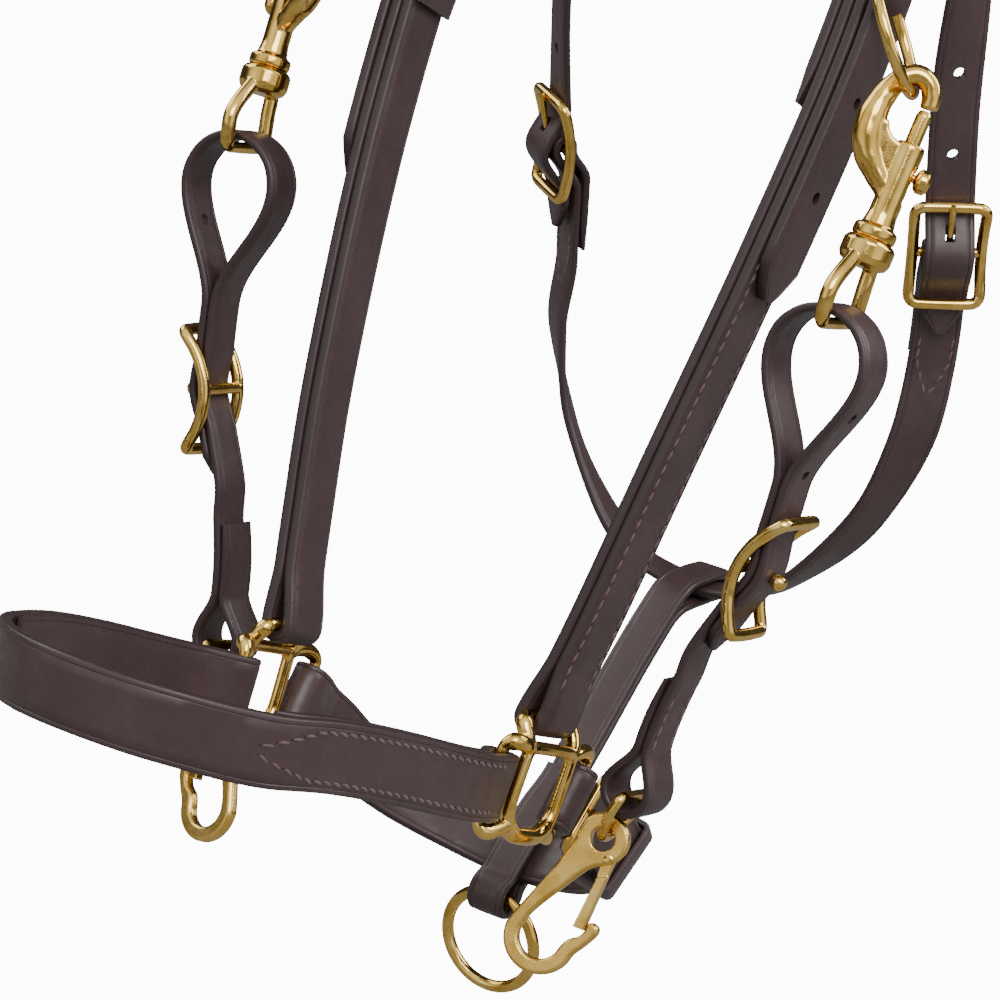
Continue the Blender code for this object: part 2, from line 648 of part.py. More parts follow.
def throat_buckle(side, name):
    """A dished rectangular frame with a bar across its middle."""
    bench = TONGUES["throat"][0]
    half = THROAT_WIDTH / 2 + 4.4
    outline = []
    corners = rounded_loop(2 * half, 2 * TOP_BAR_S, 4.0)
    for k, (x, y, _) in enumerate(corners):
        outline.append((x, y))
        next_y = corners[(k + 1) % len(corners)][1]
        if abs(next_y - y) > TOP_BAR_S:
            outline += [(x, y + (next_y - y) * t) for t in (0.2, 0.4, 0.6, 0.8)]
    path = []
    for x, y in outline:
        waist = 1.0 - 0.05 * math.cos(math.pi * y / (2 * TOP_BAR_S)) if abs(x) > half - 0.1 else 1.0
        path.append(bench.at(x * waist, y, END_BAR_RISE * (y / TOP_BAR_S) ** 2))
    frame = tube(f"{name}_throat_buckle", path, BUCKLE_BAR, BRASS, side, closed=True)
    bar = tube(f"{name}_throat_buckle_bar",
               [bench.at(-half * 0.95, 0.0), bench.at(half * 0.95, 0.0)],
               THROAT_BAR, BRASS, side)
    combine(frame, bar, "UNION")


def keeper(name, course, s, low, high, width, side=1, band=11.0, leather=2.2):
    """A leather band round the plies that lie between heights low and high."""
    point, tangent, out, across = course.place(s)
    bench = Bench(point, across, out)
    room = GAP + CURVE_ROOM
    x = width / 2 + room + leather / 2
    y_low = low - GAP - CURVE_ROOM / 2 - leather / 2
    y_high = high + GAP + leather / 2
    corner = 1.8
    line = (arc((x - corner, y_high - corner), corner, 0, 90, 3)
            + arc((-x + corner, y_high - corner), corner, 90, 180, 3)
            + arc((-x + corner, y_low + corner), corner, 180, 270, 3)
            + arc((x - corner, y_low + corner), corner, 270, 360, 3))
    rings = []
    for k, (cx, cy, _) in enumerate(line):
        before = line[k - 1]
        after = line[(k + 1) % len(line)]
        span = math.hypot(after[0] - before[0], after[1] - before[1])
        normal = ((after[1] - before[1]) / span, (before[0] - after[0]) / span)
        ring = []
        for edge, face in ((-1, -1), (1, -1), (1, 1), (-1, 1)):
            shift = face * leather / 2
            ring.append(bench.at(cx + normal[0] * shift, cy + normal[1] * shift)
                        + tangent * (edge * band / 2))
        rings.append(ring)
    mesh_object(name, rings, HAVANA, side, closed=True)


# Halter squares -------------------------------------------------------------------------------------
def halter_square(side, name):
    """A cast window with a loop at the front, the top and the rear for a strap each."""
    window = rounded_loop(WINDOW_WIDTH + 2 * SQUARE_BAR, WINDOW_HEIGHT + 2 * SQUARE_BAR,
                          4.0, 11.0, 4)
    frame = tube(f"{name}_halter_square", SQUARE.path(window), SQUARE_BAR, BRASS, side,
                 closed=True)
    shoulder = STRAP_WIDTH / 2 + 1.2
    corner = WINDOW_WIDTH / 2 + SQUARE_BAR - 1.2
    high = WINDOW_HEIGHT / 2 + SQUARE_BAR - 1.2
    loops = {
        "front": [(-corner, high, 0.0), (-18.5, 16.6, -0.4), (-23.0, 16.4, -2.2),
                  (-LOOP_REACH, shoulder, FRONT_STEP), (-LOOP_REACH, -shoulder, FRONT_STEP),
                  (-23.0, -16.6, -2.4), (-18.0, -15.0, -0.6), (-12.5, -12.0, 0.0)],
        "top": [(-corner, high, 0.0), (-16.4, 19.0, -1.6), (-16.2, 23.6, -4.8),
                (-shoulder, TOP_REACH, TOP_STEP), (shoulder, TOP_REACH, TOP_STEP),
                (16.2, 23.6, -4.8), (16.4, 19.0, -1.6), (corner, high, 0.0)],
        "rear": [(corner, high - 0.6, 0.0), (20.5, 17.0, -0.3), (28.0, 16.8, -1.6),
                 (REAR_REACH + REAR_SLANT, shoulder - 0.6, REAR_STEP),
                 (REAR_REACH - REAR_SLANT, -shoulder - 0.6, REAR_STEP),
                 (20.4, -16.2, -1.8), (16.4, -14.6, -0.4), (12.0, -12.4, 0.0)],
    }
    for which, points in loops.items():
        loop = tube(f"{name}_halter_square_{which}_loop", SQUARE.path(points),
                    SQUARE_BAR - 0.12, BRASS, side)
        combine(frame, loop, "UNION")


# Chin strap, jowl strap and chin ring -------------------------------------------------------------------
def chin_billet():
    """Folded on the near square, under the buckle's far bar, over its heel bar to a tip."""
    far_bar = CHIN_BAR_S - CHIN_BUCKLE_LENGTH
    clear = CHIN_TOP_BAR_H - BUCKLE_BAR - GAP - LEATHER / 2
    profile = join(
        run((8.0, -SQUARE_FOLD - 0.6), (1.0, -SQUARE_FOLD), 8.0),
        bend((0.0, 0.0), SQUARE_FOLD, -90, -270),
        run((1.0, SQUARE_FOLD), (far_bar, clear), 4.0, ease=True),
        run((far_bar, clear), (CHIN_BAR_S, CHIN_BILLET_H), 4.0, ease=True),
        run((CHIN_BAR_S, CHIN_BILLET_H), (CHIN_TIP_S - 5.0, CHIN_BILLET_H), 8.0),
        [(CHIN_TIP_S, CHIN_BILLET_H)])
    made = strap("chin_billet", CHIN, profile, STRAP_WIDTH, LEATHER, end_tip=5.0)
    cut_billet_slot(made, "near", "chin", 1)


def chin_strap():
    """From the chin buckle under the chin to the off square."""
    length = CHIN.length
    front = CHIN_BAR_H + CHIN_FOLD
    inner = front - PLY
    near_end = join(
        run((CHIN_BAR_S + 36.0, inner), (CHIN_BAR_S + 15.0, inner), 9.0),
        run((CHIN_BAR_S + 15.0, inner), (CHIN_BAR_S + 2.0, CHIN_BAR_H - CHIN_FOLD), 4.0, ease=True),
        bend((CHIN_BAR_S, CHIN_BAR_H), CHIN_FOLD, -90, -270),
        run((CHIN_BAR_S + 1.0, front), (CHIN_BAR_S + 40.0, front), 8.0))
    off_inner = SQUARE_FOLD - PLY
    off_end = join(
        run((length - 60.0, SQUARE_FOLD), (length - 1.0, SQUARE_FOLD), 9.0),
        bend((length, 0.0), SQUARE_FOLD, 90, -90),
        run((length - 1.0, -SQUARE_FOLD), (length - FOLD_EASE, off_inner), 6.0, ease=True),
        run((length - FOLD_EASE, off_inner), (length - 50.0, off_inner), 9.0))
    middle = length / 2
    settle = join(run(near_end[-1], (middle - 20.0, 0.0), 9.0, ease=True),
                  run((middle - 20.0, 0.0), (middle + 20.0, 0.0), 9.0),
                  run((middle + 20.0, 0.0), off_end[0], 9.0, ease=True))
    made = strap("chin_strap", CHIN, join(near_end, settle, off_end), STRAP_WIDTH, LEATHER,
                 skive_start=True, skive_end=True)
    cut_fold_slot(made, "near", "chin", 1)


def jowl_strap():
    """Round the chin ring, up both faces of the chin strap, and round the throat strap."""
    ring_fold = CHIN_RING_WIRE + GAP + 3 * CURVE_ROOM + THIN_LEATHER / 2
    round_chin = LEATHER / 2 + GAP + CURVE_ROOM + THIN_LEATHER / 2
    round_throat = THIN_LEATHER + GAP + CURVE_ROOM
    half_ply = THIN_PLY / 2
    chin_s = nearest_s(JOWL, CHIN_MIDDLE, 0.0, 60.0)
    last = JOWL.length
    outer = join(
        bend((0.0, 0.0), ring_fold, 180, 90, 5),
        run((1.0, ring_fold), (chin_s - 13.5, round_chin), 4.0, ease=True),
        run((chin_s - 13.5, round_chin), (chin_s + 13.5, round_chin), 8.0),
        run((chin_s + 13.5, round_chin), (chin_s + 34.0, half_ply), 6.0, ease=True),
        run((chin_s + 34.0, half_ply), (last - 44.0, half_ply), 9.0),
        run((last - 44.0, half_ply), (last - 25.0, round_throat), 6.0, ease=True),
        run((last - 25.0, round_throat), (last, round_throat), 8.0))
    inner = [(s, -h) for s, h in outer]
    seam = chin_s + 40.0
    low = [p for p in inner if p[0] < seam - 4.0]
    high = [p for p in inner if p[0] > seam + 4.0]
    profile = join(list(reversed(low)), outer, bend((last, 0.0), round_throat, 90, -90, 6),
                   list(reversed(high)))
    strap("jowl_strap", JOWL, profile, JOWL_WIDTH, THIN_LEATHER)


def chin_ring():
    """A round ring for the lead rope, hanging in the jowl strap's lower fold."""
    point, _, _, across = JOWL.place(0.0)
    hang = Bench(point, across, vec(-0.15, 0.0, 1.0))
    ring = Bench(hang.at(0.0, -CHIN_RING_RADIUS), hang.right, hang.up)
    path = ring.path(arc((0.0, 0.0), CHIN_RING_RADIUS, 0, 360, 22)[:-1])
    tube("chin_ring", path, CHIN_RING_WIRE, BRASS, closed=True, origin=point)


# Cheek ring and its tab ------------------------------------------------------------------------------
RING_HANG_S = 280.5      # where the cheek ring hangs, measured up the cheek
RING_FORWARD = 18.0      # how far in front of the cheek's middle it hangs
RING_TURN = 45.0         # degrees between the tab and the point opposite the hook
TAB_LEATHER = 2.6
TAB_WIDTH = 10.0
TAB_FOLD = RING_WIRE + GAP + 0.6 + TAB_LEATHER / 2
RING_HEIGHT = BILLET_H + LEATHER / 2 + GAP + TAB_LEATHER / 2 + TAB_FOLD
TAB_SEAM_H = BILLET_H + LEATHER / 2 + GAP + TAB_LEATHER + GAP / 2
TAB_SEAM_FORWARD = 7.2
CROWN_KEEPER_S = 309.0
RING_ACROSS = vec(0.942, 0.295, -0.151)      # the ring's plane, by two of its directions
RING_RISE = vec(-0.014, 0.492, 0.868)


def ring_hanger():
    """The ring's frame: origin at its wire in the tab, up away from its centre."""
    point, _, out, across = CHEEK.place(RING_HANG_S)
    turn = math.radians(RING_TURN)
    return Bench(point + out * RING_HEIGHT - across * RING_FORWARD,
                 RING_ACROSS * math.cos(turn) - RING_RISE * math.sin(turn),
                 RING_RISE * math.cos(turn) + RING_ACROSS * math.sin(turn))


HANGER = ring_hanger()
RING = Bench(HANGER.at(0.0, -RING_RADIUS), HANGER.right, HANGER.up)
HOOK_POINT = RING.at(RING_RADIUS * math.sin(math.radians(RING_TURN)),
                     -RING_RADIUS * math.cos(math.radians(RING_TURN)))


def cheek_ring(side, name):
    path = RING.path(arc((0.0, 0.0), RING_RADIUS, 0, 360, 24)[:-1])
    tube(f"{name}_cheek_ring", path, RING_WIRE, BRASS, side, closed=True,
         origin=HANGER.origin)


def ring_tab(side, name):
    """A small folded tab that hangs the ring; its plies are sewn under the crown keeper."""
    start_up = square_to(CHEEK.place(RING_HANG_S)[1], HANGER.right)
    start_out = HANGER.right.cross(start_up)
    guides = [(HANGER.origin, start_out), (HANGER.origin + start_up * 9.0, start_out)]
    for s in (CROWN_KEEPER_S - 6.0, CROWN_KEEPER_S + 6.0):
        point, _, out, across = CHEEK.place(s)
        guides.append((point + out * TAB_SEAM_H - across * TAB_SEAM_FORWARD, out))
    course = Course(guides)
    ply = (TAB_LEATHER + GAP) / 2
    end = course.length - 1.0
    outer = join(bend((0.0, 0.0), TAB_FOLD, 180, 90, 4),
                 run((1.0, TAB_FOLD), (14.0, ply), 4.0, ease=True),
                 run((14.0, ply), (end, ply), 7.0))
    inner = [(s, -h) for s, h in outer]
    strap(f"{name}_ring_tab", course, join(list(reversed(inner)), outer), TAB_WIDTH,
          TAB_LEATHER, side)


# Bolt snap: a hook closed by a sliding bolt, on a swivel eye ---------------------------------------------
SNAP_HOOK = (-6.9, 56.2)     # where the ring's wire passes the hook, from the swivel's middle
SNAP_RIGHT = vec(0.437, -0.873, -0.216)
SNAP_UP = vec(0.330, -0.067, 0.941)
SNAP = Bench(HOOK_POINT - SNAP_RIGHT * SNAP_HOOK[0] - SNAP_UP * SNAP_HOOK[1], SNAP_RIGHT, SNAP_UP)
BARREL = 4.9
BORE = 3.3
BORE_FLOOR = 11.0
BARREL_END = 40.0
PLUNGER = 2.7
PLUNGER_FOOT = 26.5
KNOB_UP = 29.5
BOLT_TRAVEL = 8.0
SHANK = 1.8
EYE_DROP = 26.5
EYE_BAR = 2.0
EYE_ARM = 2.6
EYE_HALF = 12.4


def bolt_snap(side, name):
    line = [(-1.8, 21.6), (-7.6, 26.4), (-12.6, 31.2), (-15.6, 37.0), (-16.5, 43.5),
            (-15.8, 51.0), (-13.2, 58.2), (-8.2, 62.9), (-3.4, 62.2), (-0.4, 58.4), (0.5, 53.6)]
    radii = [3.6, 4.2, 4.8, 5.1, 4.9, 4.2, 3.6, 3.5, 3.4, 3.2, 2.9]
    body = tube(f"{name}_bolt_snap", SNAP.path(line), radii, BRASS, side,
                origin=HOOK_POINT)
    barrel = turned(f"{name}_bolt_snap_barrel", SNAP, SNAP.origin, SNAP.up,
                    [(4.9, 7.2), (5.6, 7.6), (8.6, 7.6), (9.6, 5.6), (14.0, BARREL),
                     (38.8, BARREL), (BARREL_END, 4.5)], BRASS, side, sides=12)
    combine(body, barrel, "UNION")
    outline = [(-1.0, 16.0), (-6.5, 22.0), (-12.5, 29.0), (-15.5, 36.0), (-14.0, 44.0),
               (-10.8, 44.5), (-9.6, 41.8), (-7.2, 39.6), (-4.0, 38.7), (0.0, 38.5)]
    web = plate(f"{name}_bolt_snap_web", SNAP, outline, 6.6, side)
    combine(body, web, "UNION")
    bore = turned(f"{name}_bolt_snap_bore", SNAP, SNAP.origin, SNAP.up,
                  [(BORE_FLOOR, BORE), (BARREL_END + 3.0, BORE)], BRASS, side, sides=12)
    combine(body, bore, "DIFFERENCE")
    shank = turned(f"{name}_bolt_snap_shank_bore", SNAP, SNAP.origin, SNAP.up,
                   [(3.0, SHANK + 0.4), (BORE_FLOOR + 1.0, SHANK + 0.4)], BRASS, side)
    combine(body, shank, "DIFFERENCE")
    low = KNOB_UP - BOLT_TRAVEL - 1.9
    high = KNOB_UP + 1.9
    slot = mesh_object(f"{name}_bolt_snap_slot",
                       [[SNAP.at(x, low, -1.8), SNAP.at(x, high, -1.8), SNAP.at(x, high, 1.8),
                         SNAP.at(x, low, 1.8)] for x in (0.0, 9.0)], BRASS, side)
    combine(body, slot, "DIFFERENCE")


def bolt_plunger(side, name):
    """The sliding bolt with the thumb knob that stands out through the barrel's slot."""
    bolt = turned(f"{name}_snap_bolt", SNAP, SNAP.origin, SNAP.up,
                  [(PLUNGER_FOOT, PLUNGER), (50.6, PLUNGER), (52.4, 1.9)], BRASS, side,
                  origin=SNAP.at(0.0, PLUNGER_FOOT))
    knob = turned(f"{name}_snap_bolt_knob", SNAP, SNAP.at(0.0, KNOB_UP), SNAP.right,
                  [(0.0, 1.4), (5.4, 1.4), (6.0, 3.4), (7.2, 4.4), (9.6, 4.3), (10.8, 3.0)],
                  BRASS, side)
    combine(bolt, knob, "UNION")


def bolt_spring(side, name):
    first = BORE_FLOOR + 3.2
    last = PLUNGER_FOOT - 0.7
    turns = 4
    count = turns * 8
    path = []
    for k in range(count + 1):
        angle = 2 * math.pi * k / 8
        path.append(SNAP.at(2.3 * math.cos(angle), first + (last - first) * k / count,
                            2.3 * math.sin(angle)))
    tube(f"{name}_snap_bolt_spring", path, 0.45, STEEL, side, sides=4,
         origin=SNAP.at(0.0, BORE_FLOOR + 2.6))


# Bit strap ------------------------------------------------------------------------------------------------
BIT_TOP = SNAP.at(0.0, -EYE_DROP)
BIT = Course([
    (BIT_TOP, vec(-0.04, -0.985, -0.144)),
    (vec(30.3, -126.2, 172.8), vec(-0.04, -0.985, -0.1)),
    (vec(27.8, -124.6, 135.6), vec(-0.04, -0.99, -0.1)),
    (vec(25.2, -119.8, 97.4), vec(-0.04, -0.985, -0.17)),
    (vec(22.4, -105.0, 62.6), vec(-0.04, -0.95, -0.3)),
    (vec(20.2, -97.0, 33.0), vec(-0.04, -0.985, -0.17)),
    (vec(18.0, -95.0, 5.0), vec(-0.04, -0.99, -0.1)),
])
BIT_END = BIT.length
BIT_PLY = (THIN_LEATHER + GAP) / 2
EYE_LOOP = 18.9
EYE_ABOVE = 4.8          # the loop passes this far above the eye's bar
EYE_LOOP_END = 60.0
CONWAY_S = nearest_s(BIT, vec(25.2, -119.8, 97.4), 40.0, 140.0)
CONWAY_REACH = 22.4
CONWAY_BAR = 1.9
CONWAY_END_H = BIT_PLY + THIN_LEATHER / 2 + GAP + CONWAY_BAR
CONWAY_BUMP = 2.2
CONWAY_LOW_H = CONWAY_BUMP - BIT_PLY - THIN_LEATHER / 2 - GAP - CONWAY_BAR
STUD = 1.4
LINK_LOOP = 9.0
LINK_H = -3.6


def swivel_eye(side, name):
    """A riveted collar that turns on the snap's end, with the eye that the bit strap hangs in."""
    eye = turned(f"{name}_swivel_eye", SNAP, SNAP.origin, SNAP.up,
                 [(-5.4, 5.5), (-4.2, 8.2), (-2.2, 9.2), (2.6, 9.2), (4.0, 8.2), (4.5, 6.4)],
                 BRASS, side, sides=12, origin=SNAP.origin)
    shank = turned(f"{name}_swivel_eye_shank", SNAP, SNAP.origin, SNAP.up,
                   [(0.0, SHANK), (BORE_FLOOR + 0.4, SHANK), (BORE_FLOOR + 0.5, 2.8),
                    (BORE_FLOOR + 2.0, 2.6)], BRASS, side)
    combine(eye, shank, "UNION")
    across = BIT.place(0.0)[3]
    rise = -BIT.place(0.0)[1]
    arms = []
    for half in (1.0, -1.0):
        collar = square_to(across, SNAP.up) * half
        bar = across * half
        arm = [SNAP.origin + collar * 5.0 - SNAP.up * 1.0, SNAP.origin + collar * 7.8 - SNAP.up * 4.0,
               BIT_TOP + bar * EYE_HALF + rise * 13.0, BIT_TOP + bar * EYE_HALF + rise * 2.4,
               BIT_TOP + bar * (EYE_HALF - 0.7) + rise * 0.7, BIT_TOP + bar * (EYE_HALF - 2.4)]
        arms.append(arm)
    thick = [EYE_ARM] * 4 + [EYE_BAR] * 2
    loop = tube(f"{name}_swivel_eye_loop", arms[0] + arms[1][::-1], thick + thick[::-1], BRASS,
                side)
    combine(eye, loop, "UNION")


def eye_ease(s):
    """Height of the outer ply where the loop in the eye closes down onto the other ply."""
    t = (s - (EYE_LOOP - EYE_ABOVE)) / (EYE_LOOP_END - EYE_LOOP + EYE_ABOVE)
    return EYE_LOOP + (BIT_PLY - EYE_LOOP) * smooth(t)


def bit_strap(side, name):
    k = CONWAY_S
    top = EYE_LOOP - EYE_ABOVE
    outer = join(
        run((k + 34.0, BIT_PLY), (k + 16.0, BIT_PLY), 7.0),
        run((k + 16.0, BIT_PLY), (k, BIT_PLY + CONWAY_BUMP), 4.0, ease=True),
        run((k, BIT_PLY + CONWAY_BUMP), (k - 16.0, BIT_PLY), 4.0, ease=True),
        run((k - 16.0, BIT_PLY), (EYE_LOOP_END, BIT_PLY), 7.0),
        run((EYE_LOOP_END, BIT_PLY), (top, EYE_LOOP), 4.5, ease=True))
    inner = join(
        run((top, -EYE_LOOP), (EYE_LOOP_END, -BIT_PLY), 4.5, ease=True),
        run((EYE_LOOP_END, -BIT_PLY), (k - 16.0, -BIT_PLY), 7.0),
        run((k - 16.0, -BIT_PLY), (k, CONWAY_BUMP - BIT_PLY), 4.0, ease=True),
        run((k, CONWAY_BUMP - BIT_PLY), (k + 16.0, -BIT_PLY), 4.0, ease=True),
        run((k + 16.0, -BIT_PLY), (k + 36.0, -BIT_PLY), 7.0),
        run((k + 36.0, -BIT_PLY), (k + 50.0, 0.0), 5.0, ease=True),
        run((k + 50.0, 0.0), (BIT_END - 20.0, 0.0), 8.0),
        run((BIT_END - 20.0, 0.0), (BIT_END - 3.0, LINK_H + LINK_LOOP), 4.5, ease=True))
    below = join(
        run((BIT_END - 3.0, LINK_H - LINK_LOOP), (BIT_END - 20.0, LINK_H), 4.5, ease=True),
        run((BIT_END - 20.0, LINK_H), (k + 51.0, LINK_H), 8.0))
    profile = join(outer, bend((top, 0.0), EYE_LOOP, 90, 270, 12), inner,
                   bend((BIT_END - 3.0, LINK_H), LINK_LOOP, 90, -90), below)
    made = strap(f"{name}_bit_strap", BIT, profile, BIT_WIDTH, THIN_LEATHER, side,
                 start_tip=9.0, skive_end=True)
    punch(made, f"{name}_bit_strap_stud_hole", BIT, k, CONWAY_BUMP, side, radius=2.0, depth=9.0)
    for n, s in enumerate((30.0, 54.0)):
        punch(made, f"{name}_bit_strap_hole_{n + 1}", BIT, s, eye_ease(s), side, radius=2.0,
              depth=8.0 - 3.6 * n)


def conway_buckle(side, name):
    """A bowed frame with two end bars outside the strap and a centre bar with a stud inside."""
    bench = on_course(BIT, CONWAY_S, 0.0)
    half = BIT_WIDTH / 2 + 0.5 + CONWAY_BAR
    rise = CONWAY_END_H - CONWAY_LOW_H

    def height(y):
        return CONWAY_LOW_H + rise * (y / CONWAY_REACH) ** 2

    rail = [(half, CONWAY_REACH * t) for t in (-0.94, -0.7, -0.45, -0.2, 0.0, 0.2, 0.45, 0.7, 0.94)]
    end = [(half - 1.6, CONWAY_REACH), (-half + 1.6, CONWAY_REACH)]
    outline = rail + end + [(-x, -y) for x, y in rail] + [(-x, -y) for x, y in end]
    frame = tube(f"{name}_conway_buckle", [bench.at(x, y, height(y)) for x, y in outline],
                 CONWAY_BAR, BRASS, side, closed=True)
    bar = tube(f"{name}_conway_buckle_bar", [bench.at(x, 0.0, CONWAY_LOW_H)
                                             for x in (-half * 0.95, half * 0.95)],
               CONWAY_BAR - 0.1, BRASS, side)
    combine(frame, bar, "UNION")
    neck = BIT_PLY + CONWAY_BUMP + THIN_LEATHER / 2 + 0.3
    stud = turned(f"{name}_conway_buckle_stud", bench, bench.origin, bench.out,
                  [(CONWAY_LOW_H, STUD), (neck, STUD), (neck + 0.7, 2.2), (neck + 2.4, 2.6),
                   (neck + 4.1, 2.2), (neck + 4.9, 1.0)], BRASS, side)
    combine(frame, stud, "UNION")


# Link and spring-gate snap ------------------------------------------------------------------------------
LINK_TOP = BIT.place(BIT_END)[0] + BIT.place(BIT_END)[2] * LINK_H
LINK = Bench(LINK_TOP, vec(0.975, 0.10, -0.17), vec(0.443, -0.316, 0.840))
LINK_HALF = BIT_WIDTH / 2 + 3.3
LINK_STRAIGHT = 8.0      # the legs run straight this far, past the strap's loop
LINK_END = 8.0           # radius of the round end
LINK_LENGTH = 19.0
HOLE_UNDER_LINK = 0.9
CLIP_HOLE = 4.6
CLIP_THICK = 4.2
CLIP_RIGHT = vec(0.2244, -0.966, -0.122)
CLIP_UP = vec(0.320, -0.045, 0.946)
CLIP = Bench(LINK.at(0.0, -LINK_LENGTH) - CLIP_UP * HOLE_UNDER_LINK, CLIP_RIGHT, CLIP_UP)
PIVOT = (4.6, -6.2)
PIVOT_PIN = 1.1
GATE_SLOT = 1.3          # half the width of the slot in the clip's head
GATE_TONGUE = 1.05       # half the thickness of the gate's tongue


def bit_link(side, name):
    """A triangular link: a straight bar in the strap's loop, a round end in the clip's hole."""
    corner = arc((LINK_HALF - 2.6, -2.6), 2.6, 90, 0, 3) + [(LINK_HALF, -LINK_STRAIGHT, 0.0)]
    line = corner + arc((0.0, -LINK_LENGTH + LINK_END), LINK_END, -20, -160, 6)
    line += [(-x, y, z) for x, y, z in reversed(corner)]
    tube(f"{name}_bit_link", LINK.path(line), LINK_WIRE, BRASS, side, closed=True,
         origin=LINK_TOP)


def disc(name, bench, centre, radius, half, side, sides=14):
    """A round cutter or boss square to the bench, about a local (right, up) point."""
    return turned(name, bench, bench.at(centre[0], centre[1], 0.0), bench.out,
                  [(-half, radius), (half, radius)], BRASS, side, sides=sides)


def clip_body(side, name):
    """A cast hook: a head with the link's hole, and an arm that curls round to a tip."""
    flat = []
    flat += [(x, y) for x, y, _ in arc((0.0, 0.0), 9.5, -58, 198, 16)]
    flat += [(-13.5, -17.0), (-18.5, -30.5), (-21.9, -40.0)]
    flat += [(x, y) for x, y, _ in arc((-8.5, -41.0), 13.5, 184, 352, 12)]
    flat += [(8.2, -37.5), (10.6, -32.6), (10.2, -30.2), (7.6, -29.4), (6.0, -30.4)]
    flat += [(6.0, -32.6), (4.6, -35.6), (1.2, -38.2)]
    flat += [(x, y) for x, y, _ in arc((-8.5, -41.0), 8.0, -6, -186, 8)]
    flat += [(-14.6, -34.0), (-7.8, -22.4), (-1.2, -12.4)]
    body = plate(f"{name}_clip", CLIP, flat, CLIP_THICK, side,
                 origin=CLIP.at(0.0, HOLE_UNDER_LINK))
    combine(body, disc(f"{name}_clip_link_hole", CLIP, (0.0, 0.0), CLIP_HOLE, 6.0, side),
            "DIFFERENCE")
    slot = plate(f"{name}_clip_slot", CLIP, [(-2.0, -14.0), (14.0, -14.0), (14.0, -2.6),
                                             (4.9, -2.6), (0.8, -5.8), (-2.0, -9.0)],
                 2 * GATE_SLOT, side)
    combine(body, slot, "DIFFERENCE")
    combine(body, disc(f"{name}_clip_pin_hole", CLIP, PIVOT, PIVOT_PIN + 0.25, 6.0, side, 10),
            "DIFFERENCE")


def clip_gate(side, name):
    """The gate: a bar with a tongue that turns on the pin in the head's slot."""
    gate = plate(f"{name}_clip_gate", CLIP, [(3.0, -14.0), (6.6, -12.0), (5.5, -33.0),
                                             (1.2, -33.0)], 3.6, side, origin=CLIP.at(*PIVOT))
    outline = [(2.9, -14.2)]
    outline += [(x, y) for x, y, _ in arc(PIVOT, 2.5, 180, 0, 8)]
    outline += [(6.4, -14.2)]
    tongue_plate = plate(f"{name}_clip_gate_tongue", CLIP, outline, 2 * GATE_TONGUE, side)
    combine(gate, tongue_plate, "UNION")
    combine(gate, disc(f"{name}_clip_gate_hole", CLIP, PIVOT, PIVOT_PIN + 0.25, 4.0, side, 10),
            "DIFFERENCE")


def clip_pin(side, name):
    pin = CLIP_THICK / 2 + 0.2
    turned(f"{name}_clip_pin", CLIP, CLIP.at(PIVOT[0], PIVOT[1], 0.0), CLIP.out,
           [(-pin - 0.7, 1.2), (-pin - 0.5, 1.7), (-pin, 1.7), (-pin + 0.01, PIVOT_PIN),
            (pin - 0.01, PIVOT_PIN), (pin, 1.7), (pin + 0.5, 1.7), (pin + 0.7, 1.2)], BRASS, side,
           origin=CLIP.at(PIVOT[0], PIVOT[1], 0.0))


# Assembly ---------------------------------------------------------------------------------------------------
CROWN_STACK_LOW = -PLY / 2 - PLY - LEATHER / 2
CROWN_STACK_HIGH = TAB_SEAM_H + TAB_LEATHER + GAP / 2

noseband()
crownpiece()
throat_strap()
chin_billet()
chin_strap()
jowl_strap()
chin_ring()
for SIDE, NAME in ((1, "near"), (-1, "off")):
    halter_square(SIDE, NAME)
    cheekpiece(SIDE, NAME)
    heel_buckle(SIDE, NAME, "crown")
    tongue(SIDE, NAME, "crown")
    keeper(f"{NAME}_crown_keeper", CHEEK, CROWN_KEEPER_S, CROWN_STACK_LOW, CROWN_STACK_HIGH,
           STRAP_WIDTH, SIDE)
    throat_buckle(SIDE, NAME)
    tongue(SIDE, NAME, "throat")
    cheek_ring(SIDE, NAME)
    ring_tab(SIDE, NAME)
    bolt_snap(SIDE, NAME)
    bolt_plunger(SIDE, NAME)
    bolt_spring(SIDE, NAME)
    swivel_eye(SIDE, NAME)
    bit_strap(SIDE, NAME)
    conway_buckle(SIDE, NAME)
    bit_link(SIDE, NAME)
    clip_body(SIDE, NAME)
    clip_gate(SIDE, NAME)
    clip_pin(SIDE, NAME)
heel_buckle(1, "near", "chin")
tongue(1, "near", "chin")
keeper("near_chin_keeper", CHIN, CHIN_KEEPER_S, CHIN_BAR_H + CHIN_FOLD - PLY - LEATHER / 2,
       CHIN_BILLET_H + LEATHER / 2, STRAP_WIDTH)
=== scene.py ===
"""The looks of a leather headcollar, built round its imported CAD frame.

Straps are drawn again as fine skins on the same courses as in the CAD, with rounded edges,
creases, punched holes and real stitches. Brass pieces are drawn again from the CAD's own
descriptions on finer paths, then softened into castings.

Lengths are in millimetres from an origin between the two halter squares; MM and POLL turn them
into the CAD frame. A skin whose name starts with off_ is drawn as the near side's mirror image.
"""

import json
import math

import bmesh
import bpy
from mathutils import Matrix, Vector

